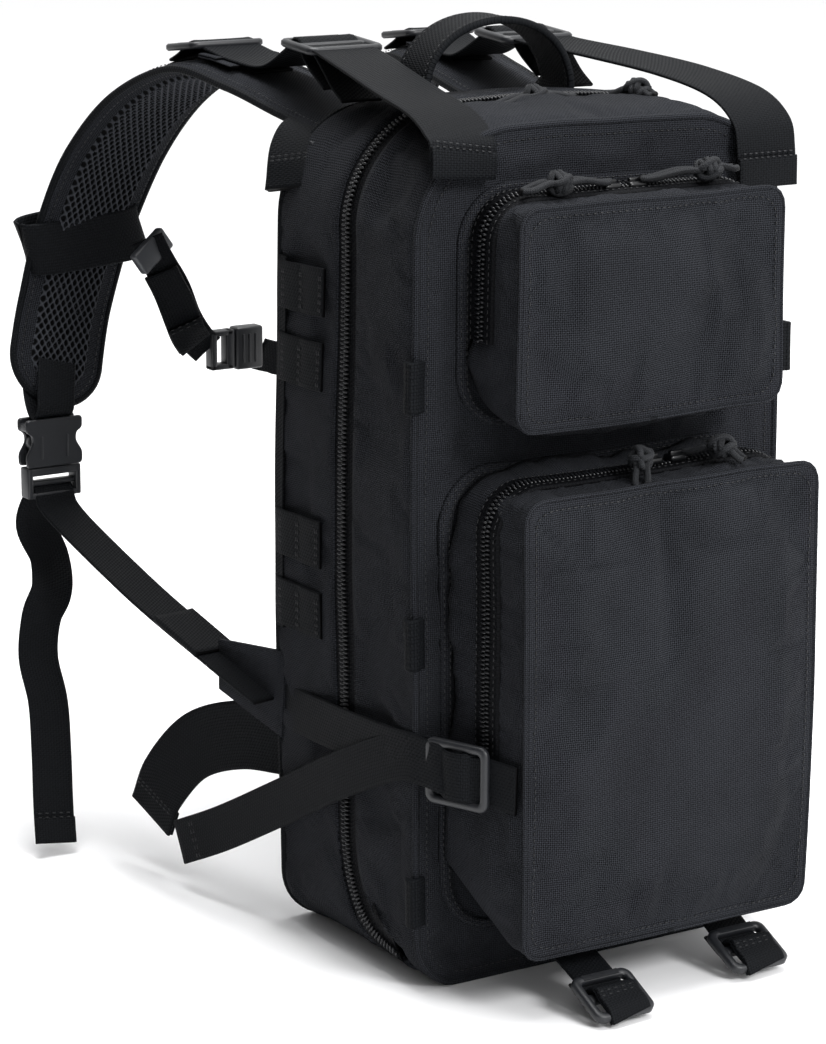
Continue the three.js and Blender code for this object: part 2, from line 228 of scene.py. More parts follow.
def mouldedAcetal():
    # moulded acetal: even satin gloss with the fine spark-eroded grain of the mould
    material, tree, shader = startMaterial("mouldedAcetal", "#191a1c", 0.4, Specular_IOR_Level=0.5)
    place = addNode(tree, "ShaderNodeTexCoord").outputs["Object"]
    grain = softNoise(tree, place, 1500, 2.0)
    shadeBy(tree, shader, softNoise(tree, place, 40, 3.0), "#141518", "#202226")
    rough = addNode(tree, "ShaderNodeMapRange", {"To Min": 0.36, "To Max": 0.52}, {0: grain})
    tree.links.new(rough.outputs[0], shader.inputs["Roughness"])
    bumpFrom(tree, shader, grain, 0.05 * mm, 0.5)
    return material


def mouldedCoil():
    # nylon coil: smooth filament that catches a small highlight on every turn
    material, tree, shader = startMaterial("mouldedCoil", "#191a1d", 0.34, Specular_IOR_Level=0.5)
    place = addNode(tree, "ShaderNodeTexCoord").outputs["Object"]
    bumpFrom(tree, shader, softNoise(tree, place, 2200, 1.0), 0.03 * mm, 0.4)
    return material


def paintedZinc():
    # black painted zinc casting: glossier than the cloth, a little orange peel
    material, tree, shader = startMaterial("paintedZinc", "#0e0f11", 0.3, Metallic=0.3, Coat_Weight=0.2)
    place = addNode(tree, "ShaderNodeTexCoord").outputs["Object"]
    bumpFrom(tree, shader, softNoise(tree, place, 700, 2.0), 0.05 * mm, 0.4)
    return material


def braidedCord():
    # braided nylon cord: a diamond pattern of sheath strands, darkened between the strands as painted shade
    material, tree, shader = startMaterial("braidedCord", "#141517", 0.66, Sheen_Weight=0.02, Sheen_Roughness=0.4,
                                           Specular_IOR_Level=0.25)
    uv = addNode(tree, "ShaderNodeTexCoord").outputs["UV"]
    turned = addNode(tree, "ShaderNodeMapping", {"Rotation": (0, 0, math.radians(40))}, {0: uv}).outputs[0]
    braid = weaveHeight(tree, turned, 0.75 * mm, 0.75 * mm)
    # painted shade: darker where the braid's strands sink
    shadeBy(tree, shader, braid, "#050506", "#24262a")
    bumpFrom(tree, shader, braid, 0.25 * mm, 0.9)
    return material


def loopFleece():
    # brushed loop lining: grey, furry and matt
    material, tree, shader = startMaterial("loopFleece", "#1e2024", 0.95, Sheen_Weight=0.15, Sheen_Roughness=0.6)
    place = addNode(tree, "ShaderNodeTexCoord").outputs["Object"]
    fuzz = softNoise(tree, place, 900, 4.0, 0.7)
    shadeBy(tree, shader, fuzz, "#17191c", "#2f3237")
    bumpFrom(tree, shader, fuzz, 0.5 * mm, 0.9)
    return material


knitCell = {"size": 4.2 * mm, "long": 1.6}     # width of a cell and how much longer it is than wide


def spacerKnit():
    # warp-knit spacer mesh: soft matt threads round open cells, with the cells darkened as painted shade
    material, tree, shader = startMaterial("spacerKnit", "#0f1011", 0.85, Specular_IOR_Level=0.1)
    place = addNode(tree, "ShaderNodeTexCoord").outputs["Object"]
    yarn = softNoise(tree, place, 1300, 2.0)
    across, along = addNode(tree, "ShaderNodeSeparateXYZ", links={
        0: addNode(tree, "ShaderNodeTexCoord").outputs["UV"]}).outputs[:2]
    slope = mathNode(tree, "DIVIDE", along, knitCell["long"])
    plus = sineOf(tree, mathNode(tree, "ADD", across, slope), knitCell["size"]).outputs[0]
    minus = sineOf(tree, mathNode(tree, "SUBTRACT", across, slope), knitCell["size"]).outputs[0]
    # painted shade: the open cells are coloured near black, the threads round them lighter
    hole = mathNode(tree, "ABSOLUTE", mathNode(tree, "MULTIPLY", plus, minus))
    holeShade = mathNode(tree, "MINIMUM", mathNode(tree, "MULTIPLY", hole, 1.9), 1.0)
    rim = mathNode(tree, "ADD", mathNode(tree, "MULTIPLY", holeShade, -1.0), 1.0)
    shadeBy(tree, shader, mathNode(tree, "MULTIPLY", rim, mathNode(tree, "ADD", yarn, 0.5)), "#020203", "#3c3e43")
    bumpFrom(tree, shader, yarn, 0.15 * mm, 0.7)
    return material


def sewingThread():
    # bonded polyester thread: slightly glossy against the cloth
    material, tree, shader = startMaterial("sewingThread", "#121316", 0.5, Specular_IOR_Level=0.45)
    place = addNode(tree, "ShaderNodeTexCoord").outputs["Object"]
    bumpFrom(tree, shader, softNoise(tree, place, 2500, 1.0), 0.05 * mm, 0.5)
    return material


def clipPlastic():
    # grey moulded adjuster clip, lighter and a little translucent looking
    material, tree, shader = startMaterial("clipPlastic", "#3a3c40", 0.4, Specular_IOR_Level=0.5)
    place = addNode(tree, "ShaderNodeTexCoord").outputs["Object"]
    bumpFrom(tree, shader, softNoise(tree, place, 900, 2.0), 0.05 * mm, 0.4)
    return material


def studioFloor():
    material, tree, shader = startMaterial("studioFloor", light["floor"], 0.9)
    return material


cloth = wovenPolyester()
# the zip tape carries the same painted shade between its ribs
tapeCloth = ribbedWebbing("zipTapeTwill", "#050506", "#121316")
webbing = ribbedWebbing()
acetal = mouldedAcetal()
coilNylon = mouldedCoil()
zinc = paintedZinc()
cordNylon = braidedCord()
fleece = loopFleece()
knit = spacerKnit()
thread = sewingThread()
greyClip = clipPlastic()
print("materials ready")

# ---------- general makers ----------


def pieceFrom(name, bm, material, body, smooth=True, replaces=()):
    mesh = bpy.data.meshes.new(name)
    bm.to_mesh(mesh)
    bm.free()
    mesh.materials.append(material)
    if smooth:
        mesh.shade_smooth()
    obj = bpy.data.objects.new(name, mesh)
    bpy.context.scene.collection.objects.link(obj)
    if replaces:
        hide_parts(*replaces)
    if body:
        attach(obj, body)
    return obj


def mixPoint(a, b, t):
    return a + (b - a) * t


def mixValue(a, b, t):
    return a + (b - a) * t


def smoothStep(low, high, value):
    t = min(max((value - low) / (high - low), 0), 1)
    return t * t * (3 - 2 * t)


def curveThrough(points, count):
    # evenly spaced samples of a smooth curve through the points, each a tuple of any length
    rows = [Vector(p) for p in points]
    rows = [rows[0] * 2 - rows[1]] + rows + [rows[-1] * 2 - rows[-2]]
    dense = []
    for i in range(1, len(rows) - 2):
        a, b, c, d = rows[i - 1:i + 3]
        for k in range(24):
            t = k / 24
            dense.append(0.5 * (2 * b + (c - a) * t + (2 * a - 5 * b + 4 * c - d) * t * t
                                + (3 * b - a - 3 * c + d) * t ** 3))
    dense.append(rows[-2])
    return evenly(dense, count)


def evenly(dense, count):
    lengths = [0.0]
    for a, b in zip(dense, dense[1:]):
        lengths.append(lengths[-1] + (Vector(b[:3]) - Vector(a[:3])).length)
    result, j = [], 0
    for i in range(count):
        want = lengths[-1] * i / (count - 1)
        while j < len(lengths) - 2 and lengths[j + 1] < want:
            j += 1
        span = max(lengths[j + 1] - lengths[j], 1e-9)
        result.append(mixPoint(dense[j], dense[j + 1], (want - lengths[j]) / span))
    return result


def pathLength(points):
    return sum((Vector(b[:3]) - Vector(a[:3])).length for a, b in zip(points, points[1:]))


def loft(bm, rings, closed=False, capped=True, uvs=None):
    # joins rings of points, all with the same count, into a tube; uvs gives (u, v) in metres per point
    rows = [[bm.verts.new(p) for p in ring] for ring in rings]
    layer = bm.loops.layers.uv.verify()
    places = {}
    if uvs:
        for row, values in zip(rows, uvs):
            for vert, value in zip(row, values):
                places[vert] = value
    pairs = list(zip(rows, rows[1:] + ([rows[0]] if closed else [])))
    count = len(rows[0])
    for first, second in pairs:
        if len(second) != count:
            continue
        for i in range(count):
            j = (i + 1) % count
            face = bm.faces.new((first[i], first[j], second[j], second[i]))
            for corner in face.loops:
                corner[layer].uv = places.get(corner.vert, (0, 0))
    if capped and not closed:
        bm.faces.new(list(reversed(rows[0])))
        bm.faces.new(rows[-1])
    return rows


# half section of flat webbing: (share of the width, share of the thickness), with fuller selvedges
tapeSection = [(-0.5, 0.0), (-0.49, 0.36), (-0.46, 0.5), (-0.4, 0.44), (-0.2, 0.4), (0, 0.4),
               (0.2, 0.4), (0.4, 0.44), (0.46, 0.5), (0.49, 0.36), (0.5, 0.0)]


def frames(points, sides):
    # a tangent, a side and a normal at each point; the sides follow the given directions
    result = []
    for i, point in enumerate(points):
        ahead = Vector(points[min(i + 1, len(points) - 1)][:3])
        behind = Vector(points[max(i - 1, 0)][:3])
        tangent = (ahead - behind).normalized()
        side = Vector(sides[i])
        side = (side - tangent * side.dot(tangent)).normalized()
        result.append((Vector(point[:3]), tangent, side, tangent.cross(side)))
    return result


def addStrap(bm, route, width, thickness, count=60, startAt=0.0):
    # route rows: x, y, z of the middle, then x, y, z of the direction of the width
    rows = curveThrough(route, count)
    around = tapeSection + [(u, -v) for u, v in reversed(tapeSection[1:-1])]
    rings, uvs, distance = [], [], startAt
    previous = None
    for point, tangent, side, normal in frames(rows, [row[3:6] for row in rows]):
        if previous is not None:
            distance += (point - previous).length
        previous = point
        rings.append([point + side * (u * width) + normal * (v * thickness) for u, v in around])
        uvs.append([(u * width, distance) for u, v in around])
    loft(bm, rings, uvs=uvs)
    return rows


def addCord(bm, route, radius, count=40, sidesCount=8, closed=False):
    rows = curveThrough(route, count) if not closed else evenly(
        [Vector(p) for p in route] + [Vector(route[0])], count + 1)[:-1]
    up = Vector((0.13, 0.31, 0.94))
    rings, uvs, distance = [], [], 0.0
    for i, point in enumerate(rows):
        ahead = rows[(i + 1) % len(rows)] if closed else rows[min(i + 1, len(rows) - 1)]
        behind = rows[i - 1] if closed or i else rows[0]
        tangent = (Vector(ahead[:3]) - Vector(behind[:3])).normalized()
        side = tangent.cross(up).normalized()
        up = side.cross(tangent).normalized()
        distance += (Vector(point[:3]) - Vector(behind[:3])).length if i else 0
        ring, uvRow = [], []
        for k in range(sidesCount):
            angle = 2 * math.pi * k / sidesCount
            ring.append(Vector(point[:3]) + (side * math.cos(angle) + up * math.sin(angle)) * radius)
            uvRow.append((angle * radius, distance))
        rings.append(ring)
        uvs.append(uvRow)
    loft(bm, rings, closed=closed, uvs=uvs)
    return rows


def boxUv(bm):
    # lays each face's uv flat on the axis plane it faces, in metres
    layer = bm.loops.layers.uv.verify()
    for face in bm.faces:
        n = face.normal
        size = [abs(n.x), abs(n.y), abs(n.z)]
        axis = size.index(max(size))
        for corner in face.loops:
            co = corner.vert.co
            corner[layer].uv = ((co.y, co.z), (co.x, co.z), (co.x, co.y))[axis]


stitching = {"length": 2.6 * mm, "gap": 1.1 * mm, "thick": 0.75 * mm}


def addStitches(bm, points, normals):
    # a row of short thread humps that follows points; normals say which way is out
    total = pathLength(points)
    step = stitching["length"] + stitching["gap"]
    count = max(int(total / step), 1)
    rows = evenly([Vector(list(p) + list(n)) for p, n in zip(points, normals)], count * 2 + 1)
    for i in range(count):
        start, end = rows[2 * i], rows[2 * i + 1]
        centre = Vector(mixPoint(start, end, 0.5)[:3])
        along = (Vector(end[:3]) - Vector(start[:3])).normalized()
        out = Vector(start[3:6]).normalized()
        across = along.cross(out).normalized()
        out = across.cross(along)
        turn = Matrix((across, along, out)).transposed().to_4x4()
        size = Matrix.Diagonal((stitching["thick"], stitching["length"], stitching["thick"] * 0.8, 1))
        bmesh.ops.create_icosphere(bm, subdivisions=1, radius=0.5,
                                   matrix=Matrix.Translation(centre) @ turn @ size)


def bend(value, width):
    return max(0.0, 1 - (value / width) ** 2)


# ---------- cloth ----------

clothSim = {"frames": 18, "pressure": 3.0, "grow": -0.035, "cap": 7 * mm}


def puff(obj, held, pressure=None, grow=None, cap=None):
    # lets the cloth swell against its seams; held(point) is 1 where it is sewn down, 0 where it is free
    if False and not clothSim.get("always"):
        return
    mesh = obj.data
    before = [v.co.copy() for v in mesh.vertices]
    group = obj.vertex_groups.new(name="seams")
    for i, point in enumerate(before):
        weight = held(point)
        if weight > 0:
            group.add([i], weight, "REPLACE")
    modifier = obj.modifiers.new("cloth", "CLOTH")
    settings = modifier.settings
    settings.quality = 6
    settings.mass = 0.3
    settings.tension_stiffness = 22
    settings.compression_stiffness = 22
    settings.shear_stiffness = 8
    settings.bending_stiffness = 0.6
    settings.use_pressure = True
    settings.uniform_pressure_force = clothSim["pressure"] if pressure is None else pressure
    settings.shrink_min = clothSim["grow"] if grow is None else grow
    settings.vertex_group_mass = "seams"
    settings.pin_stiffness = 4
    settings.effector_weights.gravity = 0
    modifier.collision_settings.use_collision = False
    modifier.collision_settings.use_self_collision = False
    modifier.point_cache.frame_start = 1
    modifier.point_cache.frame_end = clothSim["frames"]
    scene = bpy.context.scene
    for frameNumber in range(1, clothSim["frames"] + 1):
        scene.frame_set(frameNumber)
    graph = bpy.context.evaluated_depsgraph_get()
    shaped = obj.evaluated_get(graph).to_mesh()
    after = [v.co.copy() for v in shaped.vertices]
    obj.evaluated_get(graph).to_mesh_clear()
    obj.modifiers.remove(modifier)
    obj.vertex_groups.clear()
    limit = clothSim["cap"] if cap is None else cap
    for i, vert in enumerate(mesh.vertices):
        shift = after[i] - before[i]
        if shift.length > limit:
            shift = shift.normalized() * limit
        vert.co = before[i] + shift * (1 - held(before[i]))
    scene.frame_set(1)


# ---------- the bag's shape ----------

frontLow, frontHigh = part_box("front_panel")
backLow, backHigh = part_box("back_panel")
bag = {
    "width": frontHigh.x - frontLow.x,
    "height": frontHigh.z - frontLow.z,
    "frontY": frontLow.y,
    "backY": backHigh.y,
    "topRadius": 52 * mm,
    "bottomRadius": 28 * mm,
    "crown": 9 * mm,            # the filled top rises above its seams
    "zipTurnHigh": 75 * mm,     # below this the side zip curves forward
    "zipTurnLow": 12 * mm,
    "zipEnd": 6 * mm,           # the zip stops this far behind the front face
    "tapeHalf": 10 * mm,        # half width of the zip's tape zone
}


def settle(point):
    # the same gentle slump for everything sewn to the bag: crowned top, bowed sides, uneven seams
    x, y, z = point
    top = smoothStep(bag["height"] * 0.86, bag["height"], z)
    crown = bag["crown"] * top * bend(x, 0.112) * bend(y, 0.085)
    level = smoothStep(0.0, 0.10, z)
    wave = noise.noise_vector(Vector((x * 9, y * 9, z * 7))) * (1.6 * mm)
    ripple = noise.noise_vector(Vector((x * 26 + 5, y * 26, z * 17))) * (0.7 * mm)
    bow = 3.2 * mm * math.sin(math.pi * min(max(z / bag["height"], 0), 1)) * (x / 0.11)
    return Vector((x + bow + (wave.x + ripple.x) * level, y + (wave.y + ripple.y) * level,
                   z + crown + (wave.z + ripple.z) * level))


def settleAll(bm):
    for vert in bm.verts:
        vert.co = settle(vert.co)


def outline(width, low, high, topRadius, bottomRadius, step=4 * mm):
    # points and outward directions round an upright rounded rectangle, from the bottom's middle to the left
    half = width / 2
    dense = []

    def straight(x0, z0, x1, z1, nx, nz):
        count = max(int(math.hypot(x1 - x0, z1 - z0) / (0.5 * mm)), 1)
        for i in range(count):
            t = i / count
            dense.append(Vector((x0 + (x1 - x0) * t, 0, z0 + (z1 - z0) * t, nx, 0, nz)))

    def corner(x, z, radius, start):
        count = max(int(radius * math.pi / 2 / (0.5 * mm)), 4)
        for i in range(count):
            angle = start - math.pi / 2 * i / count
            c, s = math.cos(angle), math.sin(angle)
            dense.append(Vector((x + radius * c, 0, z + radius * s, c, 0, s)))

    straight(0, low, -half + bottomRadius, low, 0, -1)
    corner(-half + bottomRadius, low + bottomRadius, bottomRadius, 1.5 * math.pi)
    straight(-half, low + bottomRadius, -half, high - topRadius, -1, 0)
    corner(-half + topRadius, high - topRadius, topRadius, math.pi)
    straight(-half + topRadius, high, half - topRadius, high, 0, 1)
    corner(half - topRadius, high - topRadius, topRadius, 0.5 * math.pi)
    straight(half, high - topRadius, half, low + bottomRadius, 1, 0)
    corner(half - bottomRadius, low + bottomRadius, bottomRadius, 0)
    straight(half - bottomRadius, low, 0, low, 0, -1)
    dense.append(dense[0].copy())
    count = int(pathLength(dense) / step) + 1
    return evenly(dense, count)[:-1]


def zipY(z):
    # the main zip's line: straight down the side, then a curve forward to the base
    high, low = bag["zipTurnHigh"], bag["zipTurnLow"]
    if z >= high:
        return 0.0
    ahead = bag["frontY"] + bag["zipEnd"]
    if z <= low:
        return ahead
    share = 1 - math.sqrt((z - low) / (high - low))
    return ahead * share * share


def level(z):
    # height measured along the side: below the bottom corner's start it follows the curve under the base
    radius = bag["bottomRadius"]
    return z if z >= radius else radius - radius * math.asin(min((radius - z) / radius, 1))


def besideZip(shift):
    # the zip's line moved sideways by shift, as pairs of level and depth from the top down
    high, low = bag["zipTurnHigh"], bag["zipTurnLow"]
    pairs = []
    for k in range(121):
        z = high - (high - low) * k / 120.5
        ahead = Vector((zipY(z - 0.01 * mm) - zipY(z), level(z - 0.01 * mm) - level(z))).normalized()
        pairs.append((level(z) + ahead.x * shift, zipY(z) - ahead.y * shift))
    return pairs


def edgeAt(pairs, z):
    z = level(z)
    if z >= pairs[0][0]:
        return pairs[0][1]
    if z <= pairs[-1][0]:
        # below the zip's end the edge runs straight down and under the base
        return pairs[-1][1] + 2 * mm
    for (z1, y1), (z0, y0) in zip(pairs, pairs[1:]):
        if z0 <= z <= z1:
            return mixValue(y0, y1, (z - z0) / max(z1 - z0, 1e-9))
    return bag["frontY"]


def gussetRing(bm, shape, frontOf, backOf, count, skipEmpty=False):
    # a band of cloth round the bag; frontOf and backOf give its two edges in y at a height z
    rows = []
    for row in shape:
        x, z = row[0], row[2]
        y0, y1 = frontOf(z), backOf(z)
        rows.append([bm.verts.new((x, y0 + (y1 - y0) * k / count, z)) for k in range(count + 1)])
    for first, second in zip(rows, rows[1:] + [rows[0]]):
        for k in range(count):
            quad = (first[k], first[k + 1], second[k + 1], second[k])
            if skipEmpty and min((first[k].co - first[k + 1].co).length,
                                 (second[k].co - second[k + 1].co).length) < 0.05 * mm:
                continue
            bm.faces.new(quad)
    return rows


def roundedGrid(width, low, high, topRadius, bottomRadius, y, cell):
    # a flat grid of quads whose edge is the rounded outline
    bm = bmesh.new()
    a, b = width / 2, (high - low) / 2
    nx, nz = int(width / cell), int((high - low) / cell)
    bmesh.ops.create_grid(bm, x_segments=nx, y_segments=nz, size=1)
    for vert in bm.verts:
        u, v = vert.co.x, vert.co.y
        m = max(abs(u), abs(v))
        x, z = u * a, v * b
        if m > 1e-6:
            radius = topRadius if v > 0 else bottomRadius
            ex, ez = abs(x) / m, abs(z) / m
            if ex > a - radius and ez > b - radius:
                reach = ((ez - (b - radius)) if ex >= a - 1e-9 else (2 * radius - (ex - (a - radius))))
                angle = math.pi / 2 * reach / (2 * radius)
                rx = a - radius + radius * math.cos(angle)
                rz = b - radius + radius * math.sin(angle)
                w = m ** 3
                x = math.copysign(m * ((1 - w) * ex + w * rx), x)
                z = math.copysign(m * ((1 - w) * ez + w * rz), z)
        vert.co = Vector((x, y, z + (low + high) / 2))
    return bm


def extrudeEdge(bm, steps, move):
    # pulls the open boundary out in steps; returns the boundary loops, the first being the old edge
    edges = [e for e in bm.edges if e.is_boundary]
    loops = [list({v for e in edges for v in e.verts})]
    for k in range(steps):
        made = bmesh.ops.extrude_edge_only(bm, edges=edges)["geom"]
        verts = [g for g in made if isinstance(g, bmesh.types.BMVert)]
        edges = [g for g in made if isinstance(g, bmesh.types.BMEdge) and g.is_boundary]
        move(verts, k + 1)
        loops.append(verts)
    return loops


def solidify(obj, thickness, offset=-1):
    modifier = obj.modifiers.new("thickness", "SOLIDIFY")
    modifier.thickness = thickness
    modifier.offset = offset
    modifier.use_rim = True
    return modifier


clothThick = 1.6 * mm


def makeRearShell():
    shape = outline(bag["width"], 0, bag["height"], bag["topRadius"], bag["bottomRadius"])
    shift = bag["tapeHalf"] - 1 * mm
    bm = bmesh.new()

    line = besideZip(shift)

    def frontEdge(z):
        return max(edgeAt(line, z), bag["frontY"] + 4.5 * mm)

    gussetRing(bm, shape, frontEdge, lambda z: bag["backY"] - 1 * mm, 14)
    bmesh.ops.recalc_face_normals(bm, faces=bm.faces)
    boxUv(bm)
    settleAll(bm)
    obj = pieceFrom("rearGusset", bm, cloth, "pack", replaces=["rear_gusset"])
    puff(obj, lambda p: 1 if p.y > bag["backY"] - 3 * mm or p.y < frontEdge(p.z) + 3 * mm or p.z < 3 * mm else 0,
         pressure=1.2, grow=-0.03, cap=1.2 * mm)
    solidify(obj, 2.5 * mm)


def makeBackPanel():
    bm = roundedGrid(bag["width"], 0, bag["height"], bag["topRadius"], bag["bottomRadius"], bag["backY"], 5 * mm)
    bmesh.ops.recalc_face_normals(bm, faces=bm.faces)
    if sum(f.normal.y for f in bm.faces) < 0:
        bmesh.ops.reverse_faces(bm, faces=bm.faces)
    boxUv(bm)
    settleAll(bm)
    obj = pieceFrom("backPanel", bm, cloth, "pack", replaces=["back_panel"])
    solidify(obj, 2.5 * mm)


def makeLidShell():
    low = 0
    bm = roundedGrid(bag["width"], low, bag["height"], bag["topRadius"], bag["bottomRadius"], bag["frontY"], 4 * mm)
    shift = bag["tapeHalf"] - 1 * mm
    steps = 10
    frontY = bag["frontY"]

    line = besideZip(-shift)

    def backEdge(z):
        return max(edgeAt(line, z), frontY + 1.2 * mm)

    def move(verts, k):
        for vert in verts:
            vert.co.y = frontY + (backEdge(vert.co.z) - frontY) * k / steps

    extrudeEdge(bm, steps, move)
    bmesh.ops.recalc_face_normals(bm, faces=bm.faces)
    boxUv(bm)
    settleAll(bm)
    obj = pieceFrom("lidShell", bm, cloth, "lid", replaces=["front_gusset", "front_panel"])

    def held(p):
        onFace = p.y < frontY + 3 * mm
        rim = min(bag["width"] / 2 - abs(p.x), p.z, bag["height"] - p.z)
        underPocket = abs(p.x) < 96 * mm and 28 * mm < p.z < 412 * mm and not 275 * mm < p.z < 289 * mm
        if onFace and (rim < 9 * mm or underPocket):
            return 1
        return 1 if p.y > backEdge(p.z) - 4 * mm or p.z < 3 * mm else 0

    puff(obj, held, pressure=1.2, grow=-0.03, cap=2.6 * mm)
    solidify(obj, 2.5 * mm)


# ---------- zips ----------

coil = {"pitch": 2.3 * mm, "reach": 5.0 * mm, "thick": 1.35 * mm, "high": 2.3 * mm, "overlap": 0.9 * mm}


def addCoil(bm, points, normals, hand):
    # one half of a coil zip: a row of bent filament humps along points, on the side that hand gives
    count = max(int(pathLength(points) / coil["pitch"]), 2)
    rows = evenly([Vector(list(p) + list(n)) for p, n in zip(points, normals)], count)
    for i, row in enumerate(rows[:-1]):
        along = (Vector(rows[i + 1][:3]) - Vector(row[:3])).normalized()
        out = Vector(row[3:6])
        out = (out - along * out.dot(along)).normalized()
        across = along.cross(out) * hand
        shift = 0.5 if hand > 0 else 0.0
        centre = Vector(row[:3]) + along * (coil["pitch"] * shift) + across * (
            coil["reach"] / 2 - coil["overlap"]) + out * 0.6 * mm
        turn = Matrix((across, along, out)).transposed().to_4x4()
        if turn.determinant() < 0:
            turn = Matrix((across, -along, out)).transposed().to_4x4()
        size = Matrix.Diagonal((coil["reach"], coil["thick"], coil["high"], 1))
        bmesh.ops.create_icosphere(bm, subdivisions=1, radius=0.5, matrix=Matrix.Translation(centre) @ turn @ size)


def mainZipPath(proud):
    shape = outline(bag["width"], 0, bag["height"], bag["topRadius"], bag["bottomRadius"], 3 * mm)
    rows = [r for r in shape if r[2] >= bag["zipTurnLow"] + 0.5 * mm]
    start = max(range(len(rows)), key=lambda i: (rows[i - 1].copy() - rows[i]).length)
    rows = rows[start:] + rows[:start]
    points = [Vector((r[0] + r[3] * proud, zipY(r[2]), r[2] + r[5] * proud)) for r in rows]
    normals = [Vector((r[3], 0, r[5])) for r in rows]
    return points, normals


def makeMainZip():
    points, normals = mainZipPath(0)
    halves = ((-1, "pack", "rearCoil", "rear_zip_chain"), (1, "lid", "frontCoil", "front_zip_chain"))
    for hand, body, name, node in halves:
        bm = bmesh.new()
        addCoil(bm, points, normals, hand)
        boxUv(bm)
        settleAll(bm)
        pieceFrom(name, bm, coilNylon, body, replaces=[node])
        bm = bmesh.new()
        half = bag["tapeHalf"]
        sides = []
        for i, p in enumerate(points):
            along = (points[min(i + 1, len(points) - 1)] - points[max(i - 1, 0)]).normalized()
            sides.append(along.cross(normals[i]).normalized())
        centre = (half + 2.4 * mm) / 2
        rings, uvs = [], []
        distance = 0
        for i, p in enumerate(points):
            distance += (p - points[i - 1]).length if i else 0
            side = sides[i] * hand
            out = normals[i]
            section = [(1.0 * mm, -0.7 * mm), (half, -1.0 * mm), (half + 2 * mm, -1.8 * mm), (1.0 * mm, -1.8 * mm)]
            rings.append([p + side * u + out * v for u, v in section])
            uvs.append([(u, distance) for u, v in section])
        loft(bm, rings, uvs=uvs)
        bmesh.ops.recalc_face_normals(bm, faces=bm.faces)
        settleAll(bm)
        pieceFrom(name.replace("Coil", "Tape"), bm, tapeCloth, body, smooth=False)


# ---------- pockets ----------

def pocketSizes(tubNode, flapNode):
    low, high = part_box(tubNode)
    flapLow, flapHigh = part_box(flapNode)
    return {"width": high.x - low.x, "low": low.z, "high": high.z, "faceY": low.y, "baseY": high.y,
            "fold": flapLow.z}


def nearestOn(obj, point, lift):
    # the nearest place on a piece, a little proud of its surface
    found, place, normal, index = obj.closest_point_on_mesh(point)
    return place + normal * lift if found else point


def makePocket(name, tubNode, flapNode, radius, zipAhead):
    size = pocketSizes(tubNode, flapNode)
    depth = size["baseY"] - size["faceY"]
    zipLine = size["baseY"] - zipAhead
    soften = 3 * mm
    square = 10 * mm
    bm = roundedGrid(size["width"] - 2 * soften, size["low"] + soften, size["high"] - soften,
                     square - soften, square - soften, size["faceY"], 3.5 * mm)
    middle = Vector((0, 0, (size["low"] + size["high"]) / 2))
    steps = 4 + int(depth / (4 * mm))
    halfX, halfZ = size["width"] / 2, (size["high"] - size["low"]) / 2

    def rounder(co, share):
        # eases a corner of the square face towards the rounder corner at the base
        overX, overZ = abs(co.x) - (halfX - radius), abs(co.z - middle.z) - (halfZ - radius)
        if overX <= 0 or overZ <= 0:
            return
        away = Vector((overX, overZ)).normalized() * radius
        co.x = mixValue(co.x, math.copysign(halfX - radius + away.x, co.x), share)
        co.z = mixValue(co.z, middle.z + math.copysign(halfZ - radius + away.y, co.z - middle.z), share)

    def move(verts, k):
        for vert in verts:
            if k <= 4:
                angle = math.pi / 2 * k / 4
                grow = soften * (math.sin(angle) - math.sin(angle - math.pi / 8))
                away = Vector((vert.co.x, 0, vert.co.z - middle.z))
                edgeX = halfX - square
                edgeZ = halfZ - square
                away = Vector((math.copysign(max(abs(away.x) - edgeX, 0), away.x), 0,
                               math.copysign(max(abs(away.z) - edgeZ, 0), away.z)))
                if away.length > 1e-6:
                    vert.co += away.normalized() * grow
                vert.co.y = size["faceY"] + soften * (1 - math.cos(angle))
            else:
                vert.co.y = size["faceY"] + soften + (depth - soften - 5 * mm) * (k - 4) / (steps - 4)
                rounder(vert.co, 2.2 / (steps - 4) if k < steps else 1)

    extrudeEdge(bm, steps, move)
    bmesh.ops.recalc_face_normals(bm, faces=bm.faces)
    boxUv(bm)
    settleAll(bm)
    obj = pieceFrom(name, bm, cloth, None, replaces=[tubNode, flapNode])

    def held(p):
        if p.y > size["baseY"] - 4 * mm:
            return 1
        onZip = abs(p.y - zipLine) < 11 * mm and p.z > size["fold"] + 2 * mm and p.y > size["faceY"] + 8 * mm
        rim = min(halfX - abs(p.x), halfZ - abs(p.z - middle.z))
        onSeam = p.y < size["faceY"] + 5 * mm and rim < 5 * mm
        return 0.85 if onZip or onSeam else 0

    puff(obj, held)
    for share, label in ((0, "Seam"), (1, "Stitches")):
        # the seam round the face: a narrow ridge, and a row of stitches just inside it
        inset = 4.5 * mm * share
        shape = outline(size["width"] - 2 * inset - 1.5 * mm, size["low"] + inset + 0.7 * mm, size["high"] - inset - 0.7 * mm,
                        square, square, 4 * mm)
        y = size["faceY"] + 1.4 * mm * (1 - share)
        points = [nearestOn(obj, settle(Vector((r[0], y, r[2]))), 0.4 * mm) for r in shape]
        bm = bmesh.new()
        if share:
            points.append(points[0])
            addStitches(bm, points, [Vector((0, -1, 0))] * len(points))
        else:
            addCord(bm, points, 1.25 * mm, len(points), 6, closed=True)
        trim = pieceFrom(name + label, bm, thread if share else cloth, None)
        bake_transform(trim)
    solidify(obj, clothThick)
    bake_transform(obj)
    return size


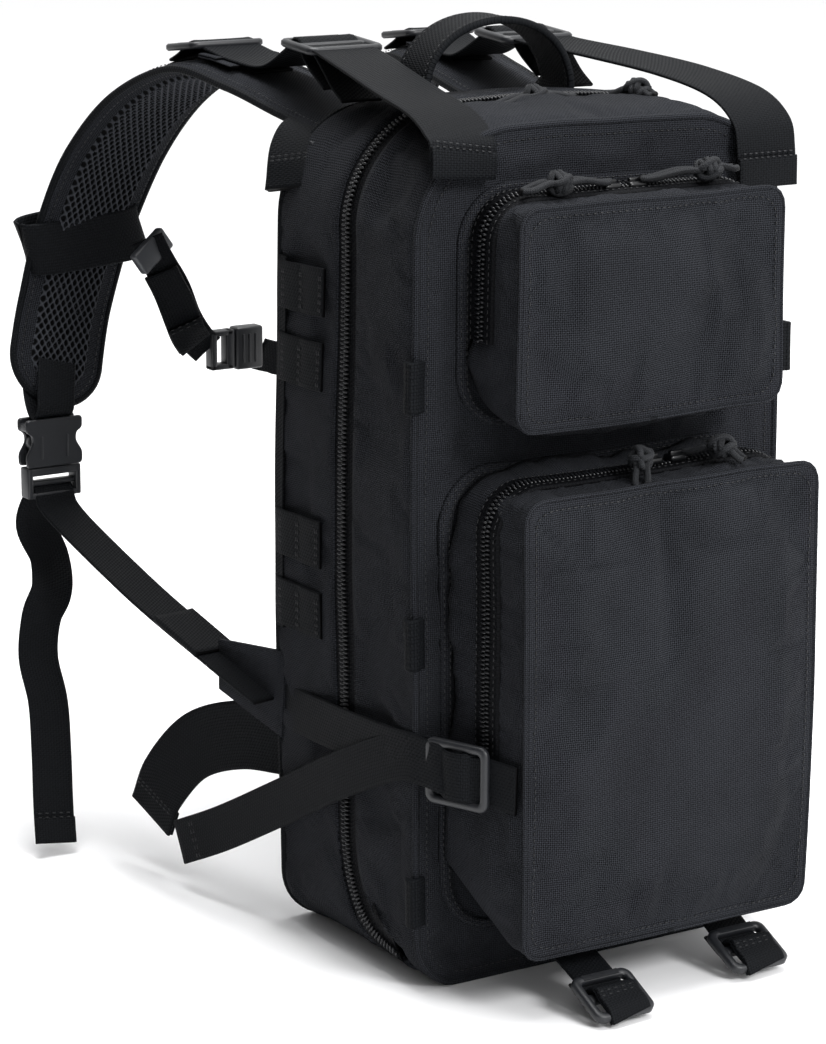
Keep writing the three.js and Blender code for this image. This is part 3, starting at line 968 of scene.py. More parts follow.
placeCamera()
for name in ("key", "overhead", "rim"):
    placeLight(name)
makeRearShell()
makeBackPanel()
makeLidShell()
makeMainZip()
upperSize = makePocket("upperPocket", "upper_pocket_tub", "upper_pocket_flap", 20 * mm, 12 * mm)
lowerSize = makePocket("lowerPocket", "lower_pocket_tub", "lower_pocket_flap", 24 * mm, 32 * mm)
print("bag ready")

# ---------- webbing, straps and locks ----------

flatTape = {"thin": 1.9 * mm, "narrow": 20 * mm, "normal": 25 * mm, "wide": 38 * mm}


def metres(route, side=1):
    # rows of x, y, z (and the direction of the width) in mm, mirrored for the other side
    rows = []
    for row in route:
        rows.append([row[0] * side * mm, row[1] * mm, row[2] * mm] + ([row[3] * side] + list(row[4:]) if len(row) > 3 else []))
    return rows


def widthAlong(route, direction):
    return [list(row) + list(direction) for row in route]


def strapEndStitches(bm, rows, width, thickness, fromEnd, atStart=False):
    # two rows of stitches across a folded end
    line = rows if atStart else list(reversed(rows))
    travelled = 0
    for i in range(1, len(line)):
        travelled += (Vector(line[i][:3]) - Vector(line[i - 1][:3])).length
        if travelled >= fromEnd:
            break
    point = Vector(line[i][:3])
    tangent = (Vector(line[i][:3]) - Vector(line[i - 1][:3])).normalized()
    side = Vector(line[i][3:6])
    side = (side - tangent * side.dot(tangent)).normalized()
    normal = tangent.cross(side)
    for face in (-1, 1):
        for shift in (0, 2.4 * mm):
            middle = point + tangent * shift + normal * face * (thickness * 0.55)
            ends = [middle - side * width * 0.44, middle + side * width * 0.44]
            addStitches(bm, ends, [normal * face, normal * face])


def makeStrap(name, route, width, thickness, body=None, replaces=(), count=60, hem=True, material=None):
    bm = bmesh.new()
    rows = addStrap(bm, route, width, thickness, count)
    if hem:
        tail = rows[-max(3, int(18 * mm / (pathLength(rows) / count))):]
        folded = [list(r[:3]) + list(r[3:6]) for r in tail]
        lifted = []
        for point, tangent, side, normal in frames(folded, [r[3:6] for r in folded]):
            lifted.append(list(point + normal * thickness * 0.95) + list(side))
        addStrap(bm, lifted, width * 0.985, thickness, max(len(tail), 6))
    obj = pieceFrom(name, bm, material or webbing, body, replaces=list(replaces))
    if hem:
        bm = bmesh.new()
        strapEndStitches(bm, rows, width, thickness * 2.6, 13 * mm)
        pieceFrom(name + "Thread", bm, thread, body)
    return obj, rows


lock = {"round": 5 * mm, "bar": 4.4 * mm, "edge": 1.0 * mm}


def makeLadderLock(name, node, body, size, centre, turn):
    # a moulded frame with rounded corners and a middle bar: size is width, length, thickness
    width, length, thick = size
    bm = bmesh.new()

    def ring(w, l, radius, z):
        points = []
        for cx, cy, start in ((w - radius, l - radius, 0), (-w + radius, l - radius, 1),
                              (-w + radius, -l + radius, 2), (w - radius, -l + radius, 3)):
            for k in range(7):
                angle = math.pi / 2 * (start + k / 6)
                points.append(Vector((cx + radius * math.cos(angle), cy + radius * math.sin(angle), z)))
        return points

    outer = (width / 2, length / 2, lock["round"])
    inner = (width / 2 - lock["bar"], length / 2 - lock["bar"], lock["round"] * 0.45)
    e = lock["edge"]
    h = thick / 2
    rings = [ring(outer[0] - e, outer[1] - e, outer[2] - e * 0.6, h), ring(*outer, h - e), ring(*outer, -h + e),
             ring(outer[0] - e, outer[1] - e, outer[2] - e * 0.6, -h),
             ring(inner[0] + e, inner[1] + e, inner[2] + e * 0.4, -h), ring(*inner, -h + e), ring(*inner, h - e),
             ring(inner[0] + e, inner[1] + e, inner[2] + e * 0.4, h)]
    loft(bm, rings, closed=True)
    barHalf = lock["bar"] * 0.62
    for centreY, halfY, tall in ((0, barHalf, 0.8),):
        section = [(-halfY, -h * 0.5), (-halfY * 0.6, -h * tall), (halfY * 0.6, -h * tall), (halfY, -h * 0.5),
                   (halfY, h * 0.5), (halfY * 0.6, h * tall), (-halfY * 0.6, h * tall), (-halfY, h * 0.5)]
        x = width / 2 - lock["bar"] * 0.8
        loft(bm, [[Vector((px, centreY + a, b)) for a, b in section] for px in (-x, x)])
    for k in range(5):
        # grip ribs on the lip that is lifted
        y = length / 2 - lock["bar"] * 0.5 + (k - 2) * 0.7 * mm
        bmesh.ops.create_cube(bm, size=1, matrix=Matrix.Translation((0, y, h)) @
                              Matrix.Diagonal((width * 0.6, 0.35 * mm, 0.5 * mm, 1)))
    bmesh.ops.transform(bm, matrix=Matrix.Translation(centre) @ turn, verts=bm.verts)
    bmesh.ops.recalc_face_normals(bm, faces=bm.faces)
    obj = pieceFrom(name, bm, acetal, body, smooth=True, replaces=[node])
    obj.data.set_sharp_from_angle(angle=math.radians(50))
    return obj


def makeBarWrap(name, body, centre, turn, width, length, thick):
    # webbing threaded through a lock: up between its ends, over the middle bar and down again
    half = length / 2
    h = thick / 2 + 1.1 * mm
    shape = [(-half + 2 * mm, -h), (-half * 0.62, -h * 0.5), (-half * 0.3, h * 0.9), (0, h * 1.25), (half * 0.3, h * 0.9),
             (half * 0.62, -h * 0.5), (half - 2 * mm, -h)]
    route = []
    for along, out in shape:
        point = centre + turn.to_3x3() @ Vector((0, along, out))
        route.append(list(point) + list(turn.to_3x3() @ Vector((1, 0, 0))))
    makeStrap(name, route, width, flatTape["thin"], body, (), 40, hem=False)


harness = {"pad": 64 * mm, "thick": 10 * mm, "border": 10 * mm, "cell": 4.2 * mm, "cellDeep": 1.7 * mm}
strapRoute = [
    [60, 68, 424], [61, 105, 431], [64, 150, 441], [70, 200, 446], [78, 252, 426],
    [88, 288, 390], [100, 306, 345], [112, 308, 304], [122, 301, 274], [131, 289, 250],
]


def padShape(share):
    # how wide the pad is along its length: narrow at the top seam, full over the shoulder, a rounded tip
    root = mixValue(0.86, 1.0, smoothStep(0.0, 0.25, share))
    tip = 1.0 if share < 0.93 else math.sqrt(max(0.0, 1 - ((share - 0.93) / 0.075) ** 2))
    return root * mixValue(1.0, 0.86, smoothStep(0.6, 0.93, share)) * max(tip, 0.12)


def padPoint(rows, share):
    place = share * (len(rows) - 1)
    i = min(int(place), len(rows) - 2)
    return mixPoint(rows[i], rows[i + 1], place - i)


def makeShoulder(name, side):
    count = 150
    rows = curveThrough(metres(strapRoute, side), count)
    sides = [(side, 0, 0)] * count
    spine = frames(rows, sides)
    half = harness["pad"] / 2
    thick = harness["thick"] / 2
    across = 30
    bm = bmesh.new()
    rings, uvs = [], []
    distance = 0
    for i, (point, tangent, sideways, normal) in enumerate(spine):
        share = i / (count - 1)
        w = half * padShape(share)
        distance += (point - spine[i - 1][0]).length if i else 0
        ring, uvRow = [], []
        for k in range(across):
            angle = 2 * math.pi * k / across
            c, s = math.cos(angle), math.sin(angle)
            u = math.copysign(abs(c) ** 0.55, c)
            v = math.copysign(abs(s) ** 0.75, s)
            edge = 1 - smoothStep(0.62, 0.8, abs(u)) * 0.42      # the pad thins to its bound edge
            ripple = 0.5 * mm * math.sin(distance * 210 + u * 3) * (1 - abs(u)) * smoothStep(0.1, 0.3, share)
            ring.append(point + sideways * (w * u) + normal * ((thick * edge * 0.92 + ripple) * v))
            uvRow.append((u * w, distance))
        rings.append(ring)
        uvs.append(uvRow)
    loft(bm, rings, uvs=uvs)
    bmesh.ops.recalc_face_normals(bm, faces=bm.faces)
    pad = pieceFrom(f"{name}ShoulderPad", bm, cloth, "pack", replaces=[f"{name}_shoulder_strap"])

    # bound edge: a narrow tape folded round the rim, with a row of stitches inside it
    bm = bmesh.new()
    stitches = bmesh.new()
    for hand in (-1, 1):
        path = []
        for i, (point, tangent, sideways, normal) in enumerate(spine):
            w = half * padShape(i / (count - 1))
            path.append(point + sideways * (w * hand * 0.985))
        addCord(bm, path, 2.1 * mm, count, 8)
        for face in (-1, 1):
            row = []
            for i, (point, tangent, sideways, normal) in enumerate(spine):
                w = half * padShape(i / (count - 1)) - 4.5 * mm
                row.append((point + sideways * (max(w, 0) * hand) + normal * face * thick * 0.63, normal * face))
            addStitches(stitches, [r[0] for r in row], [r[1] for r in row])
    pieceFrom(f"{name}PadBinding", bm, webbing, "pack")
    pieceFrom(f"{name}PadThread", stitches, thread, "pack")

    # spacer mesh on the inner face, modelled cell by cell
    bm = bmesh.new()
    layer = bm.loops.layers.uv.verify()
    startShare, endShare = 0.30, 0.985
    length = pathLength(rows) * (endShare - startShare)
    inward = -1 if spine[count // 2][3].dot(Vector((0, -1, -1))) < 0 else 1
    nv = int(length / (0.85 * mm))
    nu = int((harness["pad"] - 2 * harness["border"]) / (0.85 * mm))
    grid = []
    uvs = {}
    for j in range(nv + 1):
        share = startShare + (endShare - startShare) * j / nv
        point = padPoint(rows, share)
        place = min(int(share * (count - 1)), count - 2)
        sideways, normal = spine[place][2], spine[place][3]
        w = half * padShape(share) - harness["border"]
        row = []
        for i in range(nu + 1):
            u = (i / nu * 2 - 1)
            x, y = u * w, share * pathLength(rows)
            rim = min(1, (1 - abs(u)) * w / (2.2 * mm), max(0, (endShare - share) * pathLength(rows) / (6 * mm)),
                      (share - startShare) * pathLength(rows) / (4 * mm))
            a = math.sin(math.pi * (x / harness["cell"] + y / (harness["cell"] * 1.6)))
            b = math.sin(math.pi * (x / harness["cell"] - y / (harness["cell"] * 1.6)))
            hole = smoothStep(0.25, 0.8, abs(a * b)) * rim
            uvs[len(grid) * (nu + 1) + i] = (x, y)
            sunk = (1 - smoothStep(0.0, 1.0, rim)) * (harness["cellDeep"] + 0.9 * mm)
            lift = thick * 0.94 + harness["cellDeep"] - sunk - hole * harness["cellDeep"]
            row.append(bm.verts.new(Vector(point[:3]) + sideways * x * side * 1.0 + normal * inward * lift))
        grid.append(row)
    for j in range(nv):
        for i in range(nu):
            corners = ((j, i), (j, i + 1), (j + 1, i + 1), (j + 1, i))
            face = bm.faces.new([grid[row][column] for row, column in corners])
            for loop, (row, column) in zip(face.loops, corners):
                loop[layer].uv = uvs[row * (nu + 1) + column]
    if bm.faces and sum(f.normal.dot(spine[place][3] * inward) for f in list(bm.faces)[-50:]) < 0:
        bmesh.ops.reverse_faces(bm, faces=bm.faces)
    pieceFrom(f"{name}PadMesh", bm, knit, "pack")
    return spine


for sideName, side in (("left", -1), ("right", 1)):
    makeShoulder(sideName, side)
print("shoulder pads ready")

xAxis, yAxis, zAxis = (1, 0, 0), (0, 1, 0), (0, 0, 1)

lifterRoutes = {
    "left": [[-64, 90, 466.5], [-64, 74, 464], [-70, 40, 459], [-76, 0, 452], [-82, -42, 445],
             [-87, -66, 436], [-89, -71.5, 428], [-90, -72.5, 417]],
    "right": [[63, 90, 466.5], [63, 74, 464], [74, 30, 460], [88, -12, 454], [95, -48, 446],
              [97, -67, 434], [97, -72, 420], [97, -73, 400]],
}


def makeLifter(name, side):
    # the tail that drapes over the lid, and the webbing that runs under and over the two locks
    makeStrap(f"{name}LifterTail", widthAlong(metres(lifterRoutes[name]), xAxis), flatTape["wide"], flatTape["thin"],
              "pack", [f"{name}_lifter_tail"], 80)
    x = side * 61
    feed = [[x, 92, 463], [x, 104, 469.5], [x, 116, 462], [x, 140, 451.5], [x * 1.06, 165, 452.6],
            [x * 1.12, 186, 457], [x * 1.14, 196, 460.5], [x * 1.15, 205, 458.2], [x * 1.15, 214, 452.6], [x * 1.16, 224, 448]]
    makeStrap(f"{name}LifterFeed", widthAlong(metres(feed), xAxis), flatTape["wide"] * 0.94, flatTape["thin"],
              "pack", (), 60, hem=False)
    anchor = [[side * 67, y, z] for y, z in ((56, 441), (67, 448), (78, 458), (88, 465.5), (96, 463), (90, 456), (74, 446))]
    makeStrap(f"{name}LifterAnchor", widthAlong(metres(anchor), xAxis), flatTape["normal"], flatTape["thin"],
              "pack", (), 50, hem=False)
    makeLadderLock(f"{name}LifterLock", f"{name}_lifter_lock", f"{name}_lifter_lock", (46 * mm, 34 * mm, 4 * mm),
                   Vector((x, 96, 466)) * mm, Matrix.Rotation(0.08, 4, "X"))
    makeLadderLock(f"{name}StrapLock", f"{name}_strap_lock", f"{name}_strap_lock", (46 * mm, 34 * mm, 4 * mm),
                   Vector((side * 70, 205, 457.5)) * mm, Matrix.Rotation(-0.12, 4, "X"))
    # webbing sewn down the middle of the pad, with a patch and its stitches
    low = [[side * 64, 150, 447.5], [side * 70, 200, 452.4], [side * 78, 254, 432.5], [side * 88.5, 292.5, 394],
           [side * 100.5, 312, 346], [side * 112.5, 314, 304], [side * 122, 307.5, 274]]
    makeStrap(f"{name}PadWebbing", widthAlong(metres(low), (side, 0, 0)), flatTape["normal"], flatTape["thin"],
              "pack", (), 90, hem=False)
    patch = [[side * 65, 160, 450.6], [side * 67, 176, 452.6], [side * 69, 190, 453.6]]
    makeStrap(f"{name}StrapPatch", widthAlong(metres(patch), (side, 0, 0)), 44 * mm, 1.4 * mm, "pack", (), 14,
              hem=True, material=cloth)


def makeTwillTab(name, side):
    # folded tab at the top corner of the back seam, where the pad is sewn in
    route = [[90, 72, 427.5], [97, 69, 424.5], [103.5, 65, 418], [108.6, 60, 409], [112.6, 56, 399]]
    makeStrap(f"{name}CornerTab", widthAlong(metres(route, side), (side * 0.25, 0.95, 0.3)), 26 * mm, 2.4 * mm, "pack", (), 24)


buckle = {"bar": 34 * mm, "round": 2.2 * mm}


def roundedBlock(bm, low, high, radius, segments=3):
    made = bmesh.ops.create_cube(bm, size=1)["verts"]
    low, high = Vector(low), Vector(high)
    for vert in made:
        vert.co = Vector([low[i] if vert.co[i] < 0 else high[i] for i in range(3)])
    edges = list({e for v in made for e in v.link_edges})
    bmesh.ops.bevel(bm, geom=edges, offset=radius, offset_type="OFFSET", affect="EDGES",
                    segments=segments, profile=0.5, material=-1)


def outlineBlock(bm, points, y0, y1, edge):
    # an outline in X and Z given a thickness in Y, with softened rims
    centre = Vector((sum(p[0] for p in points) / len(points), 0, sum(p[1] for p in points) / len(points)))

    def ring(y, shrink):
        result = []
        for x, z in points:
            v = Vector((x, 0, z)) - centre
            v = v * (1 - shrink / max(v.length, 1e-6))
            result.append(Vector((v.x + centre.x, y, v.z + centre.z)))
        return result

    loft(bm, [ring(y0, edge), ring(y0 + edge, 0), ring(y1 - edge, 0), ring(y1, edge)])


def bevelled(points, radius, steps=4):
    # rounds the corners of an outline
    result = []
    count = len(points)
    for i, point in enumerate(points):
        p = Vector((point[0], point[1]))
        before = (Vector(points[i - 1][:2]) - p)
        after = (Vector(points[(i + 1) % count][:2]) - p)
        r = min(radius, before.length * 0.45, after.length * 0.45)
        a, b = p + before.normalized() * r, p + after.normalized() * r
        for k in range(steps + 1):
            t = k / steps
            q = a * (1 - t) ** 2 + p * 2 * t * (1 - t) + b * t * t
            result.append((q.x, q.y))
    return result


def makeSideBuckle(name, side):
    # side-release buckle: a waisted socket with open flanks, and a tongue whose two arms show through them
    low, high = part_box(f"{name}_buckle_female")
    x, y = (low.x + high.x) / 2, (low.y + high.y) / 2
    bm = bmesh.new()
    top, bottom = high.z, low.z
    half = (high.x - low.x) / 2
    skin = (high.y - low.y) / 2
    shape = [(-half, top), (half, top), (half, top - 7 * mm), (half * 0.8, top - 9 * mm), (half * 0.76, top - 14 * mm),
             (half, top - 21 * mm), (half * 0.98, bottom), (-half * 0.98, bottom), (-half, top - 21 * mm),
             (-half * 0.76, top - 14 * mm), (-half * 0.8, top - 9 * mm), (-half, top - 7 * mm)]
    shape = [(x + a, b) for a, b in bevelled(shape, 2.4 * mm)]
    for y0, y1 in ((y - skin, y - skin + 2.2 * mm), (y + skin - 2.2 * mm, y + skin)):
        outlineBlock(bm, shape, y0, y1, 0.7 * mm)
    roundedBlock(bm, (x - half * 0.96, y - skin + 1 * mm, top - 7 * mm), (x + half * 0.96, y + skin - 1 * mm, top - 2.8 * mm), 0.8 * mm)
    roundedBlock(bm, (x - 3 * mm, y - skin + 1 * mm, bottom + 3 * mm), (x + 3 * mm, y + skin - 1 * mm, top - 5 * mm), 0.6 * mm)
    for hand in (-1, 1):
        rib = [(x + hand * half * 0.45, top - 10 * mm), (x + hand * half * 0.45, bottom + 5 * mm)]
        roundedBlock(bm, (rib[0][0] - 0.6 * mm, y - skin - 0.4 * mm, rib[1][1]),
                     (rib[0][0] + 0.6 * mm, y - skin + 0.8 * mm, rib[0][1]), 0.25 * mm, 2)
    bmesh.ops.recalc_face_normals(bm, faces=bm.faces)
    obj = pieceFrom(f"{name}BuckleSocket", bm, acetal, "pack", replaces=[f"{name}_buckle_female"])
    obj.data.set_sharp_from_angle(angle=math.radians(45))

    low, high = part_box(f"{name}_buckle_male")
    bm = bmesh.new()
    barTop = high.z - 21 * mm
    half = (high.x - low.x) / 2
    skin = (high.y - low.y) / 2
    # ladder end: two side rails and two bars with a webbing slot between them
    for hand in (-1, 1):
        roundedBlock(bm, (x + hand * half - (3.6 * mm if hand > 0 else 0), y - skin, low.z),
                     (x + hand * half + (0 if hand > 0 else 3.6 * mm), y + skin, barTop), 1.1 * mm)
    roundedBlock(bm, (x - half + 1 * mm, y - skin, barTop - 5 * mm), (x + half - 1 * mm, y + skin, barTop), 1.3 * mm)
    roundedBlock(bm, (x - half + 1 * mm, y - skin * 0.6, low.z + 7 * mm), (x + half - 1 * mm, y + skin * 0.6, low.z + 10 * mm), 1.1 * mm)
    roundedBlock(bm, (x - half + 1 * mm, y - skin, low.z), (x + half - 1 * mm, y + skin, low.z + 3.4 * mm), 1.2 * mm)
    # tongue: a guide between two arms whose shoulders fill the socket's flanks
    roundedBlock(bm, (x - 1.8 * mm, y - 2.4 * mm, barTop - 1 * mm), (x + 1.8 * mm, y + 2.4 * mm, high.z), 0.8 * mm)
    for hand in (-1, 1):
        arm = [(11.6, -1), (13.2, 6), (12.9, 11), (14.6, 12.5), (13.6, 17), (9.5, 20.6), (7.2, 20.6), (9.8, 15), (8.6, 6), (6.5, -1)]
        points = [(x + hand * a * mm, barTop + b * mm) for a, b in arm]
        if hand < 0:
            points.reverse()
        outlineBlock(bm, bevelled(points, 1 * mm, 2), y - 2.8 * mm, y + 2.8 * mm, 0.5 * mm)
    bmesh.ops.recalc_face_normals(bm, faces=bm.faces)
    obj = pieceFrom(f"{name}BuckleTongue", bm, acetal, f"{name}_male", replaces=[f"{name}_buckle_male"])
    obj.data.set_sharp_from_angle(angle=math.radians(45))

    # webbing loop that holds the socket to the pad's tip
    loop = [[side * 126, 300, 276], [side * 134, 297, 262], [side * 137, 290, 250], [side * 136.5, 284, 242],
            [side * 135, 278.6, 247], [side * 132, 283, 258], [side * 127, 291, 272]]
    makeStrap(f"{name}BuckleLoop", widthAlong(metres(loop), (side, 0, 0)), 23 * mm, flatTape["thin"], "pack", (), 44, hem=False)

    leg = [[137, 288, 197.5], [136.5, 284, 203.2], [136, 279.5, 197], [135, 276, 190], [132, 250, 178], [127, 180, 155],
           [121, 110, 136], [116, 68, 124]]
    obj, rows = makeStrap(f"{name}LegWebbing", widthAlong(metres(leg, side), xAxis), flatTape["normal"], flatTape["thin"],
                          None, [f"{name}_lower_webbing"], 80, hem=False)
    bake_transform(obj)
    bm = bmesh.new()
    for y0, z0 in ((90, 130), (122, 139.5)):
        pass
    bm.free()
    tail = [[136.5, 286, 201.5], [137.5, 290.5, 196], [142, 293.5, 178], [136, 288, 158], [141, 276, 142], [150.5, 271, 128],
            [155.5, 266, 106], [155, 256, 82], [159, 245, 56], [164, 234, 28], [167, 226, 7]]
    obj, rows = makeStrap(f"{name}HangingTail", widthAlong(metres(tail, side), xAxis), flatTape["normal"], flatTape["thin"],
                          None, [f"{name}_lower_tail"], 90)
    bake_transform(obj)
    threadObj = bpy.data.objects.get(f"{name}HangingTailThread")
    if threadObj:
        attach(threadObj, "pack")
    patch = [[122, 118, 139.5], [123.5, 140, 145.5], [125, 160, 151]]
    makeStrap(f"{name}LegPatch", widthAlong(metres(patch, side), xAxis), 26.5 * mm, 3.6 * mm, "pack", (), 12, hem=False)


def makeTriangle(name, side):
    # the sewn triangle of cloth that anchors the lower webbing and the wing behind it
    bm = bmesh.new()
    x = side * 111.5 * mm
    points = [(58 * mm, 152 * mm), (62 * mm, 104 * mm), (118 * mm, 118 * mm), (118 * mm, 146 * mm)]
    for k, offset in enumerate((0, 2.2 * mm)):
        pass
    front = [bm.verts.new((x + side * 0 * mm, y, z)) for y, z in points]
    face = bm.faces.new(front)
    made = bmesh.ops.extrude_face_region(bm, geom=[face])["geom"]
    for g in made:
        if isinstance(g, bmesh.types.BMVert):
            g.co.x += side * 2.4 * mm
    for vert in bm.verts:
        vert.co.x += side * (vert.co.y - 0.06) * 0.11
    bmesh.ops.recalc_face_normals(bm, faces=bm.faces)
    bmesh.ops.subdivide_edges(bm, edges=bm.edges, cuts=5, use_grid_fill=True)
    boxUv(bm)
    pieceFrom(f"{name}Wing", bm, cloth, "pack")


def makeCompression(name, side):
    x = 112.6
    strap = [[x - 1, 61, 122], [x + 3, 20, 124], [x + 4.4, -30, 126], [x + 2.4, -60, 127], [x - 3.6, -75, 126.6], [x - 6, -83, 126],
             [x - 6.5, -90, 125.6], [x - 9.4, -92, 125.2], [x - 9, -84, 125.2]]
    makeStrap(f"{name}CompressionWebbing", widthAlong(metres(strap, side), zAxis), flatTape["normal"], flatTape["thin"],
              "pack", [f"{name}_compression_strap"], 80, hem=False)
    tail = [[x - 8, -90, 124.8], [x - 3.6, -86, 125], [x - 0.5, -74, 126], [x + 3, -56, 125], [x + 7, -10, 104],
            [x + 10, 46, 74], [x + 16, 100, 45], [x + 22, 138, 27]]
    makeStrap(f"{name}CompressionTail", [list(r) + [0, 0.2, 1] for r in metres(tail, side)], flatTape["normal"],
              flatTape["thin"], "pack", (), 80)
    short = [[91.4, -126.5, 121], [92.6, -120, 121.2], [94.2, -114, 121.4], [96.8, -107, 121.8],
             [101.4, -101.5, 122], [104, -98.5, 122.2]]
    makeStrap(f"{name}PocketWebbing", widthAlong(metres(short, side), zAxis), flatTape["normal"], flatTape["thin"],
              "lid", (), 40, hem=False)
    turn = Matrix.Rotation(-side * 0.36, 4, "Z") @ Matrix.Rotation(math.pi / 2, 4, "Y")
    centre = Vector((side * 104, -93, 123)) * mm
    makeLadderLock(f"{name}CompressionLock", f"{name}_compression_lock", f"{name}_compression_lock",
                   (34 * mm, 38 * mm, 4 * mm), centre, turn)
    if side < 0:
        turn = turn @ Matrix.Rotation(math.pi, 4, "Y")
    makeBarWrap(f"{name}CompressionWrap", f"{name}_compression_lock", centre, turn, flatTape["normal"], 36 * mm, 4 * mm)


def makeWaist(name, side):
    route = [[104, 76, 97], [112, 112, 92], [120, 146, 78], [127, 170, 52], [130, 180, 30]]
    makeStrap(f"{name}WaistBelt", [list(r) + [0, 0.4, 1] for r in metres(route, side)], flatTape["wide"],
              flatTape["thin"] * 1.2, "pack", [f"{name}_waist_belt"], 60)


bottomStraps = {"left": (-44, -128, 16), "right": (54, -112, 17)}


def makeBottom(name):
    x, reach, z = bottomStraps[name]
    route = [[x, -76, 29], [x, -92, 27.5], [x, (reach - 92) / 2, 23], [x, reach - 1, z], [x, reach - 8, z - 3.6],
             [x, reach - 12, z - 8], [x, reach - 8, z - 9], [x, reach + 4, z - 3.5]]
    makeStrap(f"{name}BottomStrap", widthAlong(metres(route), xAxis), flatTape["normal"], flatTape["thin"], "lid",
              [f"{name}_bottom_strap"], 60, hem=False)
    makeLadderLock(f"{name}BottomLock", f"{name}_bottom_lock", f"{name}_bottom_lock", (36 * mm, 30 * mm, 5 * mm),
                   Vector((x, reach - 16.5, z - 5)) * mm, Matrix.Rotation(0.45, 4, "X"))
    end = [[x, reach - 6, z - 7], [x, reach - 12, z - 1.4], [x, reach - 17, z + 0.6], [x, reach - 22, z - 3.4],
           [x + 1, reach - 27, z - 7.2], [x + 2, reach - 29, z - 12]]
    makeStrap(f"{name}BottomTail", widthAlong(metres(end), xAxis), flatTape["normal"], flatTape["thin"],
              f"{name}_bottom_lock", (), 40)


def makeSternum():
    up = (0, -0.3, 1)
    left = [[-88, 253, 345], [-80, 250.5, 328], [-72, 251, 314], [-64, 253.4, 297], [-55, 255, 284], [-47.6, 256, 277]]
    obj, rows = makeStrap("sternumWebbingLeft", widthAlong(metres(left), up), flatTape["narrow"], flatTape["thin"], None,
                          ["sternum_strap_left"], 60, hem=False)
    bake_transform(obj)
    fold = [[-82, 248, 326], [-74, 246, 309], [-65, 249, 290], [-60, 251, 283]]
    makeStrap("sternumFold", widthAlong(metres(fold), up), flatTape["narrow"] * 1.05, 3 * mm, "pack", (), 26)
    right = [[-13.5, 256, 271], [-4, 257, 268], [8, 257, 266], [34, 255, 280], [60, 250, 306], [86, 252, 338], [97, 262, 348]]
    makeStrap("sternumWebbingRight", widthAlong(metres(right), up), flatTape["narrow"], flatTape["thin"], "pack",
              ["sternum_strap_right"], 60, hem=False)
    for side in (-1, 1):
        # wide elastic band round the pad that the sternum webbing starts from
        band = []
        centre, ry, rz = Vector((side * 101, 307, 340)) * mm, 9.5 * mm, 36 * mm
        for k in range(25):
            angle = 2 * math.pi * k / 24
            c, s = math.cos(angle), math.sin(angle)
            u, v = math.copysign(abs(c) ** 0.5, c), math.copysign(abs(s) ** 0.7, s)
            band.append(list(centre + Vector((side * 0.98, 0.1, -0.1)) * rz * u + Vector((0, -0.98, -0.2)) * ry * v)
                        + [side * 0.27, 0.1, 0.95])
        makeStrap(f"sternumBand{'Left' if side < 0 else 'Right'}", band, 30 * mm, 1.8 * mm, "pack", (), 70, hem=False)
    low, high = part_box("sternum_buckle_female")
    bm = bmesh.new()
    roundedBlock(bm, low, high, 1.8 * mm)
    for k in range(3):
        roundedBlock(bm, (low.x + (4 + 4 * k) * mm, low.y - 0.5 * mm, low.z + 4 * mm),
                     (low.x + (5.4 + 4 * k) * mm, low.y + 1 * mm, high.z - 4 * mm), 0.3 * mm, 2)
    bmesh.ops.recalc_face_normals(bm, faces=bm.faces)
    pieceFrom("sternumSocket", bm, acetal, "pack", replaces=["sternum_buckle_female"])
    low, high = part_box("sternum_buckle_male")
    bm = bmesh.new()
    roundedBlock(bm, low, (low.x + 4 * mm, high.y, high.z), 1.2 * mm)
    roundedBlock(bm, (low.x + 10 * mm, low.y, low.z), (low.x + 15.6 * mm, high.y, high.z), 1.2 * mm)
    for z0 in (low.z, high.z - 3.4 * mm):
        roundedBlock(bm, (low.x, low.y, z0), (low.x + 15 * mm, high.y, z0 + 3.4 * mm), 1.2 * mm)
    roundedBlock(bm, (low.x + 14 * mm, low.y + 2 * mm, low.z + 3 * mm), (high.x, high.y - 2 * mm, high.z - 3 * mm), 1 * mm)
    bmesh.ops.recalc_face_normals(bm, faces=bm.faces)
    pieceFrom("sternumTongue", bm, acetal, "sternum_male", replaces=["sternum_buckle_male"])
    bm = bmesh.new()
    roundedBlock(bm, (-7 * mm, -3 * mm, -13 * mm), (7 * mm, 3 * mm, 13 * mm), 1.6 * mm)
    bmesh.ops.transform(bm, matrix=Matrix.Translation(Vector((-86, 251, 338)) * mm) @ Matrix.Rotation(0.95, 4, "Y") @
                        Matrix.Rotation(-0.2, 4, "X"), verts=bm.verts)
    pieceFrom("sternumClip", bm, greyClip, "pack")


def makeHandle():
    low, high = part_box("haul_handle")
    rise = high.z - low.z
    half = (high.x - low.x) / 2 - 2 * mm
    route = [[-half + 3 * mm, (low.y + high.y) / 2 + 6 * mm, low.z - 1 * mm, 0, 1, 0]]
    for k in range(11):
        angle = math.pi * (0.04 + 0.92 * k / 10)
        route.append([-half * math.cos(angle), (low.y + high.y) / 2, low.z + (rise - 3 * mm) * math.sin(angle) ** 0.75, 0, 1, 0])
    route.append([half - 3 * mm, (low.y + high.y) / 2 + 6 * mm, low.z - 1 * mm, 0, 1, 0])
    bm = bmesh.new()
    rows = addStrap(bm, route, 29 * mm, 4 * mm, 90)
    pieceFrom("haulHandle", bm, webbing, "handle", replaces=["haul_handle"])
    bm = bmesh.new()
    for hand in (-1, 1):
        for face in (-1, 1):
            line, normals = [], []
            for point, tangent, side, normal in frames(rows, [r[3:6] for r in rows]):
                line.append(point + side * hand * 11.5 * mm + normal * face * 1.75 * mm)
                normals.append(normal * face)
            addStitches(bm, line, normals)
    pieceFrom("handleThread", bm, thread, "handle")


